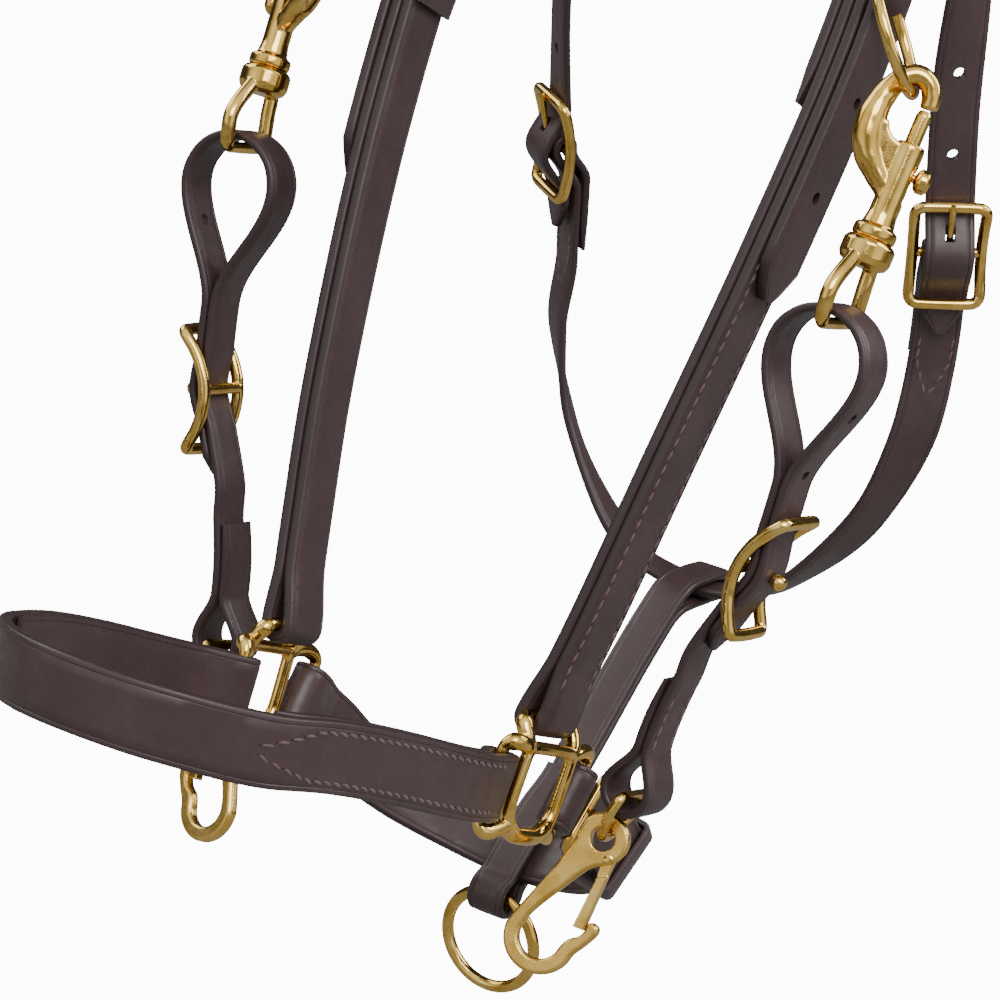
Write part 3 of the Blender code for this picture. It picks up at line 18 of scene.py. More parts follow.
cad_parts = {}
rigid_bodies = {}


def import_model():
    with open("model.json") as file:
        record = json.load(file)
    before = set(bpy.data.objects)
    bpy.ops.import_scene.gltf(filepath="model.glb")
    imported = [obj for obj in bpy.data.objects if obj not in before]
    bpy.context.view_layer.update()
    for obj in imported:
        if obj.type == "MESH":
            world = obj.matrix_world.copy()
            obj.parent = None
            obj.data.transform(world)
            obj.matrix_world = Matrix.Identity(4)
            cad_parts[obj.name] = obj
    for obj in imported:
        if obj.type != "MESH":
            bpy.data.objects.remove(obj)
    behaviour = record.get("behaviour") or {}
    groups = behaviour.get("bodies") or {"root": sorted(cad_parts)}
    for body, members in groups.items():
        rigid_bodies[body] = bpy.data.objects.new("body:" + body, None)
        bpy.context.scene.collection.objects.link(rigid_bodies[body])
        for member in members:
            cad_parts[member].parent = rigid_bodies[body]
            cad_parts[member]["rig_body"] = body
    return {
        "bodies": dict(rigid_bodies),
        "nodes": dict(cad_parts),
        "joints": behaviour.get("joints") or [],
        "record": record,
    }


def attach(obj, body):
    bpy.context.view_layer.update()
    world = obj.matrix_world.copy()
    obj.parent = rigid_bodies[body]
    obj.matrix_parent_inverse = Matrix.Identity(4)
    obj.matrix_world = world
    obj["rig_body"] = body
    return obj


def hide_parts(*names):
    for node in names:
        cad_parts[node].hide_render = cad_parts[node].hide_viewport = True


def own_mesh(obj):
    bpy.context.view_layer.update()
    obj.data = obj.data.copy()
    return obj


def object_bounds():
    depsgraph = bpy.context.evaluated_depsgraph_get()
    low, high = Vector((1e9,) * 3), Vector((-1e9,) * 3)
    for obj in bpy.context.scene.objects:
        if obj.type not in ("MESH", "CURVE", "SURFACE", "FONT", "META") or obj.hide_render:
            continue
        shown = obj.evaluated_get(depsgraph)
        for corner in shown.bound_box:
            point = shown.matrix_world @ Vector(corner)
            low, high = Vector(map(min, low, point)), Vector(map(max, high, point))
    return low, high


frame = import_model()
CAD_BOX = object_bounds()

MM = 0.001

# Sizes shared with the CAD -----------------------------------
STRAP_WIDTH = 25.0       # noseband, cheekpieces, crown, chin strap
THROAT_WIDTH = 19.0      # throat strap and its billets
BIT_WIDTH = 18.0         # bit straps
JOWL_WIDTH = 16.0        # strap between chin ring and throat strap
LEATHER = 4.2            # thickness of the wide straps
THIN_LEATHER = 3.2       # thickness of the throat, bit and jowl straps
SKIVED = 1.4             # thickness left at a skived end
SKIVE_LENGTH = 14.0      # length over which an end is thinned
GAP = 0.4                # air between touching pieces
CURVE_ROOM = 0.8         # further air where a straight piece meets a curved strap
HOLE_RADIUS = 2.3        # punched holes
SQUARE_BAR = 2.0         # radius of the halter square's bars
BUCKLE_BAR = 1.9         # radius of the buckle wires
TONGUE_RADIUS = 1.35
TONGUE_ROOM = 0.6        # air round a tongue where it passes through leather
TONGUE_LIFT = 6.0        # degrees that a fastened tongue can lift
RING_RADIUS = 21.0       # cheek ring, centre of the wire
RING_WIRE = 2.2
CHIN_RING_WIRE = 2.4
CHIN_RING_RADIUS = 20.0
LINK_WIRE = 1.9          # link between bit strap and clip
WINDOW_WIDTH = 27.0      # clear opening of the halter square
WINDOW_HEIGHT = 28.5
POLL = Vector((145.0, 0.0, 433.02))      # the CAD frame's origin

# Fineness of the skins
RUN_FINENESS = 0.36      # share of the CAD's step along a strap
BEND_FINENESS = 3        # times the CAD's points round a fold
ROUND_FINENESS = 3       # times the CAD's sides on round brass
PATH_STEP = 1.1          # longest step along a brass bar
SMOOTH_ANGLE = 40.0      # degrees; sharper edges stay crisp

SIDES = ((1, "near"), (-1, "off"))
ROWS = ((1, "rear"), (-1, "front"))      # rows of stitches, by the side of the strap's middle
EASE = True              # marks a stretch whose height changes as an S curve


def vec(x, y, z):
    return Vector((x, y, z))


def square_to(direction, reference):
    """The part of direction that is square to reference, as a unit vector."""
    return (direction - reference * direction.dot(reference)).normalized()


def smooth(t):
    t = min(max(t, 0.0), 1.0)
    return t * t * (3.0 - 2.0 * t)


# Courses: the lines that straps lie on -----------------------


class Course:
    """A smooth line through guide points, with the outward side of a strap that lies on it."""

    SUBDIVISIONS = 14

    def __init__(self, guides):
        points = [Vector(p) for p, _ in guides]
        outs = [Vector(n).normalized() for _, n in guides]
        padded = [2 * points[0] - points[1]] + points + [2 * points[-1] - points[-2]]
        self.points = []
        self.outs = []
        for i in range(len(points) - 1):
            p0, p1, p2, p3 = padded[i:i + 4]
            for k in range(self.SUBDIVISIONS):
                t = k / self.SUBDIVISIONS
                self.points.append(0.5 * (2 * p1 + (p2 - p0) * t
                                          + (2 * p0 - 5 * p1 + 4 * p2 - p3) * t ** 2
                                          + (3 * p1 - p0 - 3 * p2 + p3) * t ** 3))
                self.outs.append(outs[i].lerp(outs[i + 1], smooth(t)))
        self.points.append(points[-1])
        self.outs.append(outs[-1])
        self.lengths = [0.0]
        for a, b in zip(self.points, self.points[1:]):
            self.lengths.append(self.lengths[-1] + (b - a).length)
        self.length = self.lengths[-1]

    def place(self, s):
        """Point, tangent, outward side and across direction at distance s, also past the ends."""
        clamped = min(max(s, 0.0), self.length)
        i = 0
        while i < len(self.lengths) - 2 and self.lengths[i + 1] < clamped:
            i += 1
        t = (clamped - self.lengths[i]) / (self.lengths[i + 1] - self.lengths[i])
        point = self.points[i].lerp(self.points[i + 1], t)
        before = self.points[max(i - 1, 0)]
        after = self.points[min(i + 2, len(self.points) - 1)]
        tangent = (after - before).normalized()
        point = point + tangent * (s - clamped)
        out = square_to(self.outs[i].lerp(self.outs[i + 1], t), tangent)
        return point, tangent, out, tangent.cross(out)


def run(start, end, step=7.0, ease=False):
    """Points from start to end, both (s, h). With ease the height changes as an S curve."""
    count = max(1, math.ceil(abs(end[0] - start[0]) / (step * RUN_FINENESS)))
    points = []
    for k in range(count + 1):
        t = k / count
        lift = smooth(t) if ease else t
        points.append((start[0] + (end[0] - start[0]) * t, start[1] + (end[1] - start[1]) * lift))
    return points


def runs(start, *legs):
    """Stretches one after another; a leg is (s, h, step), with EASE as a fourth value or not."""
    points = []
    for s, h, step, *ease in legs:
        points += run(start, (s, h), step, bool(ease))
        start = (s, h)
    return points


def bend(centre, radius, first, last, count=6):
    """An arc about centre from angle first to angle last, in degrees from +s towards +h."""
    count *= BEND_FINENESS
    angles = [math.radians(first + (last - first) * k / count) for k in range(count + 1)]
    return [(centre[0] + radius * math.cos(a), centre[1] + radius * math.sin(a)) for a in angles]


def join(*stretches):
    """One path from several stretches, without doubled points."""
    path = []
    for stretch in stretches:
        for point in stretch:
            if not path or math.dist(path[-1], point) > 0.2:
                path.append(point)
    return path


class Bench:
    """A local frame in which hardware is laid out: right, up and out from an origin."""

    def __init__(self, origin, right, up):
        self.origin = Vector(origin)
        self.right = Vector(right).normalized()
        self.up = square_to(Vector(up), self.right)
        self.out = self.right.cross(self.up)

    def at(self, right, up, out=0.0):
        return self.origin + self.right * right + self.up * up + self.out * out

    def path(self, points):
        return [self.at(*p) for p in points]


SQUARE = Bench(vec(0.0, -62.0, 0.0), vec(0.965, -0.04, -0.26), vec(0.25, -0.03, 0.967))
LOOP_REACH = 25.0        # halter square: centre of a loop's outer bar, from the window's middle
TOP_REACH = 26.0
FRONT_STEP = -4.6        # how far the loops sit inside the window's plane
TOP_STEP = -6.4
REAR_REACH = 27.5
REAR_STEP = -3.0
REAR_SLANT = 4.4         # the rear loop's bar leans to stand square to the chin strap


def mirrored(point):
    return vec(point.x, -point.y, point.z)


def both_sides(near_side, middle):
    """Guides of a course that runs from the near side over the middle to the off side."""
    off_side = [(mirrored(Vector(p)), mirrored(Vector(n))) for p, n in reversed(near_side)]
    return near_side + middle + off_side


NOSE = Course(both_sides([
    (SQUARE.at(-LOOP_REACH, 0.0, FRONT_STEP), SQUARE.out),
    (vec(-55.0, -62.0, 15.5), vec(-0.02, -1.0, 0.0)),
    (vec(-100.0, -60.5, 30.0), vec(-0.07, -0.99, 0.0)),
    (vec(-138.0, -57.5, 41.0), vec(-0.2, -0.98, 0.0)),
    (vec(-172.0, -50.0, 48.0), vec(-0.5, -0.86, 0.02)),
    (vec(-195.0, -30.0, 53.0), vec(-0.85, -0.52, 0.05)),
], [(vec(-203.0, 0.0, 55.0), vec(-1.0, 0.0, 0.06))]))
CHEEK = Course(both_sides([
    (SQUARE.at(0.0, TOP_REACH, TOP_STEP), SQUARE.out),
    (vec(17.0, -64.0, 65.0), vec(-0.07, -0.99, -0.1)),
    (vec(30.0, -72.5, 118.0), vec(-0.07, -0.99, -0.1)),
    (vec(54.0, -83.0, 196.0), vec(-0.05, -0.99, -0.08)),
    (vec(80.0, -89.0, 270.0), vec(-0.02, -1.0, -0.02)),
    (vec(100.0, -88.0, 330.0), vec(0.0, -0.99, 0.14)),
    (vec(120.0, -75.0, 384.0), vec(0.0, -0.83, 0.55)),
    (vec(137.0, -46.0, 420.0), vec(0.0, -0.45, 0.89)),
], [(vec(145.0, -20.0, 432.0), vec(0.0, 0.0, 1.0)),
    (vec(145.0, 20.0, 432.0), vec(0.0, 0.0, 1.0))]))
THROAT_SIDE = [
    (vec(163.0, -44.0, 416.0), vec(0.1, -0.45, 0.89)),
    (vec(166.0, -74.0, 374.0), vec(0.0, -0.85, 0.5)),
    (vec(164.0, -88.0, 318.0), vec(-0.35, -0.93, 0.1)),
    (vec(176.0, -88.0, 252.0), vec(-0.75, -0.62, 0.1)),
    (vec(195.0, -88.0, 190.0), vec(-0.82, -0.52, 0.12)),
    (vec(208.0, -86.0, 130.0), vec(-0.78, -0.6, 0.0)),
    (vec(212.0, -70.0, 76.0), vec(-0.4, -0.85, -0.3)),
    (vec(212.0, -38.0, 37.0), vec(-0.1, -0.55, -0.8)),
]
THROAT_LOW = [(vec(212.0, -12.0, 27.0), vec(0.0, 0.0, -1.0)),
              (vec(212.0, 12.0, 27.0), vec(0.0, 0.0, -1.0))]
THROAT_HIGH = [(vec(163.0, 14.0, 432.0), vec(0.0, 0.0, 1.0)),
               (vec(163.0, -14.0, 432.0), vec(0.0, 0.0, 1.0))]
OFF_UP = [(mirrored(p), mirrored(n)) for p, n in reversed(THROAT_SIDE)]
THROAT = Course(OFF_UP + THROAT_HIGH + THROAT_SIDE + THROAT_LOW + OFF_UP)
CHIN = Course(both_sides([
    (SQUARE.at(REAR_REACH, -0.5, REAR_STEP), SQUARE.out),
    (vec(52.0, -59.0, -24.0), vec(0.05, -1.0, -0.1)),
    (vec(80.0, -53.0, -45.0), vec(0.25, -0.9, -0.35)),
    (vec(100.0, -36.0, -60.0), vec(0.45, -0.6, -0.66)),
], [(vec(108.0, -12.0, -66.0), vec(0.72, 0.0, -0.69)),
    (vec(108.0, 12.0, -66.0), vec(0.72, 0.0, -0.69))]))
CHIN_MIDDLE = vec(108.0, 0.0, -66.0)
JOWL = Course([
    (CHIN_MIDDLE + vec(-0.66, 0.0, -0.75) * 21.0, vec(0.72, 0.0, -0.69)),
    (CHIN_MIDDLE, vec(0.72, 0.0, -0.69)),
    (vec(140.0, 0.0, -32.0), vec(0.7, 0.0, -0.71)),
    (vec(172.0, 0.0, 5.0), vec(0.55, 0.0, -0.83)),
    (vec(192.0, 0.0, 23.0), vec(0.25, 0.0, -0.97)),
    (vec(212.0, 0.0, 25.9), vec(0.0, 0.0, -1.0)),
    (vec(226.0, 0.0, 25.9), vec(0.0, 0.0, -1.0)),
])


def nearest_s(course, target, first, last):
    """The distance along the course, between two limits, at which it passes closest."""
    steps = 600
    options = [first + (last - first) * k / steps for k in range(steps + 1)]
    return min(options, key=lambda s: (course.place(s)[0] - target).length)


# Where things sit along the courses
PLY = LEATHER + GAP
THIN_PLY = THIN_LEATHER + GAP
SQUARE_FOLD = SQUARE_BAR + GAP + LEATHER / 2
FOLD_EASE = 24.0
POLL_FLAT = 24.0
CROWN_BAR_S = 322.0      # heel bar of the crown buckle, measured up the cheek
CROWN_BUCKLE_LENGTH = 25.0
CROWN_FOLD = BUCKLE_BAR + GAP + LEATHER / 2
CROWN_BAR_H = PLY / 2 - CROWN_FOLD
CROWN_TOP_BAR_H = CROWN_BAR_H + 5.0
CHEEK_TAPER_S = 236.0    # where the cheek's turned-in end runs out
BILLET_TIP_S = 168.0     # where the crown billet's tail ends on the cheek
BILLET_H = PLY / 2 + PLY + 0.3
TOP_BAR_S = 20.0         # throat buckle: from its centre bar to either end bar
THROAT_BAR = 1.6
END_BAR_RISE = 3.5       # the throat buckle is dished: its end bars stand above its centre bar
THIN_FOLD = THROAT_BAR + GAP + THIN_LEATHER / 2
THROAT_BAR_H = BUCKLE_BAR + GAP + CURVE_ROOM + THIN_LEATHER / 2 - END_BAR_RISE
THROAT_STACK = THIN_LEATHER + 2.0
THROAT_POLL_S = nearest_s(THROAT, vec(163.0, 0.0, 432.0), 0.0, THROAT.length)
THROAT_LOW_S = nearest_s(THROAT, vec(212.0, 0.0, 27.0), THROAT_POLL_S, THROAT.length)
THROAT_BUCKLE_S = nearest_s(THROAT, vec(195.0, -88.0, 190.0), THROAT_POLL_S, THROAT_LOW_S)
CHIN_BAR_S = 37.0        # heel bar of the chin buckle, from the near square's rear loop
CHIN_BUCKLE_LENGTH = 23.0
CHIN_FOLD = BUCKLE_BAR + GAP + LEATHER / 2
CHIN_BAR_H = -3.0
CHIN_TOP_BAR_H = 1.6
CHIN_TIP_S = 69.0
CHIN_BILLET_H = CHIN_BAR_H + CHIN_FOLD + PLY + 0.3
NOSE_LAP = 150.0         # length of the noseband's sewn lap


# Materials ---------------------------------------------------
class Shader:
    """Short hand for wiring a material's or a world's nodes."""

    def __init__(self, owner, end="Principled BSDF", space="Object"):
        owner.use_nodes = True
        self.owner = owner
        self.tree = owner.node_tree
        self.end = self.tree.nodes[end]
        self.place = self.node("TexCoord", space)

    def plug(self, socket, value):
        """Gives a socket another node's output, a number, a direction or a colour."""
        if isinstance(value, bpy.types.NodeSocket):
            self.tree.links.new(value, socket)
        elif isinstance(value, tuple):
            socket.default_value = (*value, 1.0)
        else:
            socket.default_value = value

    def node(self, kind, output, inputs=None, **settings):
        """Adds a node and gives back one of its outputs."""
        node = self.tree.nodes.new("ShaderNode" + kind)
        for key, value in settings.items():
            setattr(node, key, value)
        for key, value in (inputs or {}).items():
            self.plug(node.inputs[key], value)
        return node.outputs[output]

    def noise(self, scale, detail=4.0, roughness=0.55):
        return self.node("TexNoise", "Fac", {"Vector": self.place, "Scale": scale,
                                             "Detail": detail, "Roughness": roughness})

    def ramp(self, source, stops):
        colour = self.node("ValToRGB", "Color", {"Fac": source})
        elements = colour.node.color_ramp.elements
        while len(elements) < len(stops):
            elements.new(0.5)
        for element, (position, tone) in zip(elements, stops):
            element.position = position
            element.color = (*tone, 1.0)
        return colour

    def mix(self, factor, a, b):
        return self.node("Mix", "Result", {"Factor": factor, "A": a, "B": b}, data_type="RGBA")

    def spread(self, source, low, high, from_low=0.3, from_high=0.7):
        """Maps a 0 to 1 pattern on to the range low to high."""
        return self.node("MapRange", "Result", {"Value": source, "From Min": from_low,
                                                "From Max": from_high, "To Min": low,
                                                "To Max": high})

    def bump(self, source, strength, distance, after=None):
        inputs = {"Height": source, "Strength": strength, "Distance": distance}
        if after is not None:
            inputs["Normal"] = after
        return self.node("Bump", "Normal", inputs)

    def finish(self, **values):
        """Sets the last node's inputs and gives back the material."""
        for key, value in values.items():
            self.plug(self.end.inputs[key.replace("_", " ")], value)
        return self.owner


def shader(name):
    return Shader(bpy.data.materials.new(name))


def leather_material():
    """Waxed dark havana leather: fine grain, slow colour drift, darker burnished edges."""
    s = shader("havana_leather")
    drift = s.ramp(s.noise(38.0, 5.0), [(0.30, (0.047, 0.027, 0.028)),
                                        (0.55, (0.060, 0.034, 0.035)),
                                        (0.75, (0.076, 0.044, 0.045))])
    mottled = s.mix(s.spread(s.noise(420.0, 3.0), 0.0, 0.35), drift, (0.040, 0.022, 0.023))
    edge = s.node("Attribute", "Fac", attribute_name="edge")
    edged = s.mix(s.spread(edge, 0.0, 0.75, 0.2, 1.0), mottled, (0.024, 0.013, 0.014))
    cells = s.node("TexVoronoi", "Distance", {"Vector": s.place, "Scale": 1500.0})
    pores = s.bump(s.noise(2600.0, 3.0, 0.7), 0.14, 0.00010, s.bump(cells, 0.10, 0.00012))
    return s.finish(Base_Color=edged, Roughness=s.spread(s.noise(160.0, 4.0), 0.36, 0.50),
                    Normal=pores, Specular_IOR_Level=0.45, Coat_Weight=0.08, Coat_Roughness=0.35)


def brass_material(name, polish, grain):
    """Brass with faint tarnish in the colour, haze and casting ripple."""
    s = shader(name)
    tone = s.ramp(s.noise(90.0, 5.0), [(0.30, (0.62, 0.37, 0.07)), (0.55, (0.86, 0.56, 0.14)),
                                       (0.80, (0.95, 0.68, 0.24))])
    haze = s.spread(s.noise(300.0, 5.0, 0.65), *polish)
    ripple = s.bump(s.noise(240.0, 3.0), 0.10, 0.00035)
    pits = s.bump(s.noise(1500.0, 4.0, 0.7), grain, 0.00025, ripple)
    return s.finish(Base_Color=tone, Roughness=haze, Metallic=1.0, Normal=pits)


def steel_material():
    s = shader("bright_spring_steel")
    return s.finish(Base_Color=(0.62, 0.62, 0.60), Roughness=s.spread(s.noise(500.0), 0.18, 0.32),
                    Metallic=1.0, Normal=s.bump(s.noise(1800.0), 0.05, 0.0001))


def thread_material():
    """Rose-brown waxed thread, with the twist of its plies."""
    s = shader("waxed_thread")
    twist = s.ramp(s.noise(1400.0, 2.0), [(0.35, (0.075, 0.038, 0.038)),
                                          (0.7, (0.15, 0.085, 0.085))])
    return s.finish(Base_Color=twist, Roughness=0.62, Sheen_Weight=0.2,
                    Normal=s.bump(s.noise(3000.0), 0.4, 0.0001))


def hole_shade_material():
    # Near black throughout: painted shade that stands in for the dark inside a needle hole.
    s = shader("needle_hole_shade")
    tone = s.ramp(s.noise(900.0), [(0.3, (0.012, 0.008, 0.008)), (0.7, (0.03, 0.02, 0.02))])
    return s.finish(Base_Color=tone, Roughness=0.9)


HAVANA = leather_material()
POLISHED = brass_material("polished_brass", (0.08, 0.18), 0.05)
CAST = brass_material("cast_brass", (0.16, 0.30), 0.35)     # rougher, for the clip's sides
STEEL = steel_material()
THREAD = thread_material()
# Painted shade for the stitches' needle holes.
HOLE_SHADE = hole_shade_material()


# Skins -------------------------------------------------------
def side_of(name):
    return -1 if name.startswith("off_") else 1


def to_world(point, side):
    return ((point.x - POLL.x) * MM, side * (point.y - POLL.y) * MM, (point.z - POLL.z) * MM)


def put(name, data):
    made = bpy.data.objects.new(name, data)
    bpy.context.scene.collection.objects.link(made)
    return made


def mesh_from(bm, name):
    mesh = bpy.data.meshes.new(name)
    bm.to_mesh(mesh)
    bm.free()
    return mesh


def soften(mesh):
    """Smooth shading, with edges sharper than SMOOTH_ANGLE left crisp."""
    mesh.shade_smooth()
    mesh.set_sharp_from_angle(angle=math.radians(SMOOTH_ANGLE))


def bridge(bm, a, b):
    """Quads between two rings; gives back the new faces."""
    return [bm.faces.new((a[k], a[k + 1 - len(a)], b[k + 1 - len(a)], b[k]))
            for k in range(len(a))]


def circle(middle, first, second, radius, count, phase=0.0):
    """Points on a circle that first and second span, or on an ellipse if their lengths differ."""
    turns = [2 * math.pi * (k + phase) / count for k in range(count)]
    return [middle + (first * math.cos(a) + second * math.sin(a)) * radius for a in turns]


def skin(name, rings, material, marks=None, closed=False):
    """A skin over rings of points; marks gives each ring point's edge value."""
    bm = bmesh.new()
    edge = bm.verts.layers.float.new("edge")
    loops = []
    for ring in rings:
        loop = [bm.verts.new(to_world(p, side_of(name))) for p in ring]
        for vert, mark in zip(loop, marks or [0.0] * len(loop)):
            vert[edge] = mark
        loops.append(loop)
    if not closed:
        bm.faces.new(loops[0])
        bm.faces.new(loops[-1])
    for a, b in zip(loops, loops[1:] + (loops[:1] if closed else [])):
        bridge(bm, a, b)
    bmesh.ops.recalc_face_normals(bm, faces=bm.faces)
    mesh = mesh_from(bm, name)
    soften(mesh)
    mesh.materials.append(material)
    return put(name, mesh)


def section(half, depth, crease):
    """A strap's section: rounded edges, a crease near each edge, a slightly crowned face."""
    soft = min(1.0, depth / 1.6)
    face = [(half, 0.35 * depth), (half - 0.18 * soft, depth - 0.62 * soft),
            (half - 0.55 * soft, depth - 0.2 * soft), (half - 1.15 * soft, depth)]
    if crease:
        face += [(half - 1.9, depth + 0.02), (half - 2.2, depth - 0.24), (half - 2.5, depth + 0.02)]
    face += [(half * 0.55, depth + 0.07), (0.0, depth + 0.1)]
    top = face + [(-x, y) for x, y in reversed(face[:-1])]
    return top + [(-x, -y) for x, y in top]


EDGE_REACH = 1.3         # how far a strap's burnished edge reaches on to its face


def strap(name, course, profile, width, thickness, start_tip=None, end_tip=None,
          skive_start=False, skive_end=False, body="headcollar", crease=True, node=None):
    """A leather strap along a side profile; it stands for the CAD strap of the same name."""
    travelled = [0.0]
    for a, b in zip(profile, profile[1:]):
        travelled.append(travelled[-1] + math.dist(a, b))
    total = travelled[-1]
    rings = []
    for i, (s, h) in enumerate(profile):
        before = profile[max(i - 1, 0)]
        after = profile[min(i + 1, len(profile) - 1)]
        span = math.dist(before, after)
        normal = (-(after[1] - before[1]) / span, (after[0] - before[0]) / span)
        ends = (travelled[i], total - travelled[i])
        half = width / 2
        for tip, away in zip((start_tip, end_tip), ends):
            if tip and away < tip:
                half *= 0.22 + 0.78 * (away / tip) ** 0.8
        depth = thickness / 2
        for skived, away in zip((skive_start, skive_end), ends):
            if skived and away < SKIVE_LENGTH:
                depth = (SKIVED + (thickness - SKIVED) * away / SKIVE_LENGTH) / 2
        ring = []
        for x, y in section(half, depth, crease):
            point, _, out, across = course.place(s + normal[0] * y)
            ring.append(point + out * (h + normal[1] * y) + across * x)
        rings.append(ring)
    marks = [min(1.0, max(0.0, 1.0 - (width / 2 - abs(x)) / EDGE_REACH))
             for x, _ in section(width / 2, thickness / 2, crease)]
    made = skin(f"{name}_skin", rings, HAVANA, marks)
    made["body"] = body
    made["node"] = name if node is None else node
    return made


def combine(target, tool, operation):
    """Cuts a tool out of a piece or joins it on; settle() makes that final."""
    tool.hide_render = True
    modifier = target.modifiers.new(tool.name, "BOOLEAN")
    modifier.operation = operation
    modifier.solver = "EXACT"
    modifier.object = tool


def fuse(target, tool):
    combine(target, tool, "UNION")


def cut(target, tool):
    combine(target, tool, "DIFFERENCE")


def settle(piece):
    """Makes a piece's modifiers final, drops its tools and puts it on its body."""
    tools = [m.object for m in piece.modifiers if m.type == "BOOLEAN"]
    if piece.modifiers:
        bpy.context.view_layer.update()
        graph = bpy.context.evaluated_depsgraph_get()
        final = bpy.data.meshes.new_from_object(piece.evaluated_get(graph))
        piece.modifiers.clear()
        piece.data = final
        for tool in tools:
            bpy.data.objects.remove(tool, do_unlink=True)
        soften(final)
    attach(piece, piece["body"])
    if piece["node"]:
        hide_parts(piece["node"])


HOLE_SIDES = 20


def punch(target, name, course, s, h, radius=HOLE_RADIUS, depth=12.0):
    """A round hole through a strap that lies at height h above its course."""
    point, tangent, out, across = course.place(s)
    rings = [circle(point + out * lift, tangent, across, radius, HOLE_SIDES)
             for lift in (h - depth / 2, h + depth / 2)]
    cut(target, skin(name, rings, HAVANA))


# Stitches ----------------------------------------------------
STITCH_PITCH = 5.2
STITCH_LENGTH = 4.3
STITCH_HALF = 0.62       # half the thread's width
STITCH_SLANT = 0.22      # how far each stitch leans across the row, per length
THREAD_SIDES = 6
THREAD_STATIONS = 7


def surface(profile, s, thickness):
    """Height of the strap's outermost face at s."""
    heights = [h0 + (h1 - h0) * (s - s0) / (s1 - s0)
               for (s0, h0), (s1, h1) in zip(profile, profile[1:])
               if min(s0, s1) <= s <= max(s0, s1) and s0 != s1]
    return max(heights, default=0.0) + thickness / 2


def thread_bead(bm, middle, along, across, out):
    """One stitch: a lens of thread, and beside it the slit of the next needle hole, coloured near
    black as painted shade.
    """
    loops = []
    for i in range(THREAD_STATIONS):
        t = i / (THREAD_STATIONS - 1)
        swell = math.sin(math.pi * (0.06 + 0.88 * t)) ** 0.7
        centre = middle + along * ((t - 0.5) * STITCH_LENGTH) + out * (0.16 * swell - 0.12)
        ring = circle(centre, across * STITCH_HALF, out * 0.5, swell, THREAD_SIDES)
        loops.append([bm.verts.new(p * MM) for p in ring])
    for a, b in zip(loops, loops[1:]):
        bridge(bm, a, b)
    bm.faces.new(loops[0][::-1])
    bm.faces.new(loops[-1])
    pit = middle + along * (STITCH_PITCH / 2) + out * 0.03
    rim = [bm.verts.new(p * MM)
           for p in circle(pit, along * 0.75, across * 0.55, 1.0, THREAD_SIDES)]
    low = [bm.verts.new((v.co / MM - out * 0.35) * MM) for v in rim]
    # The slit is a shallow closed pit with a top face, all in the painted-shade material.
    for face in bridge(bm, rim, low) + [bm.faces.new(rim), bm.faces.new(low[::-1])]:
        face.material_index = 1


def stitches(name, course, first, last, offset, height, side=1, body="headcollar"):
    """A row of stitches; offset and height give x and h at s, as numbers or functions."""
    offset_at = offset if callable(offset) else lambda s: offset
    height_at = height if callable(height) else lambda s: height
    count = max(1, round((last - first) / STITCH_PITCH))
    bm = bmesh.new()
    for k in range(count):
        s = first + (last - first) * (k + 0.5) / count
        ends = []
        for end in (s - 1.0, s + 1.0):
            point, _, out, across = course.place(end)
            ends.append(point + out * height_at(end) + across * offset_at(end))
        _, _, out, across = course.place(s)
        middle = (ends[0] + ends[1]) / 2 - POLL
        along = (ends[1] - ends[0]).normalized()
        sideways = square_to(across, along)
        along = (along + sideways * STITCH_SLANT).normalized()
        sideways = square_to(across, along)
        up = square_to(out, along)
        if side < 0:
            middle, along, sideways, up = (vec(v.x, -v.y, v.z)
                                           for v in (middle, along, sideways, up))
        thread_bead(bm, middle, along, sideways, up)
    bmesh.ops.recalc_face_normals(bm, faces=bm.faces)
    made = put(name, mesh_from(bm, name))
    made.data.shade_smooth()
    made.data.materials.append(THREAD)
    # Second material: the painted shade of the needle holes.
    made.data.materials.append(HOLE_SHADE)
    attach(made, body)


# Noseband, cheekpieces and crown -----------------------------
def noseband():
    length = NOSE.length
    inner = SQUARE_FOLD - PLY
    near_end = join(
        runs((NOSE_LAP, inner), (FOLD_EASE, inner, 14.0), (1.0, -SQUARE_FOLD, 6.0, EASE)),
        bend((0.0, 0.0), SQUARE_FOLD, -90, -270),
        runs((1.0, SQUARE_FOLD), (NOSE_LAP - 6.0, SQUARE_FOLD, 14.0),
             (NOSE_LAP + 36.0, 0.0, 9.0, EASE)))
    off_end = [(length - s, h) for s, h in reversed(near_end)]
    profile = join(near_end, run(near_end[-1], off_end[0], 11.0), off_end)
    settle(strap("noseband_front", NOSE, profile, STRAP_WIDTH, LEATHER,
                 skive_start=True, skive_end=True))
    tip = NOSE_LAP + 8.0
    reach = STRAP_WIDTH / 2 - 4.0

    def height(s):
        return surface(profile, min(s, length - s), LEATHER)

    for way, row in ((1, "upper"), (-1, "lower")):
        for mirror, name in ((False, "near"), (True, "off")):
            def offset(s):
                along = length - s if mirror else s
                return way * reach * min(1.0, max(0.0, (tip - along) / 26.0)) ** 0.75
            first, last = (length - tip + 2.0, length - 12.0) if mirror else (12.0, tip - 2.0)
            stitches(f"{name}_noseband_{row}_stitches", NOSE, first, last, offset, height)


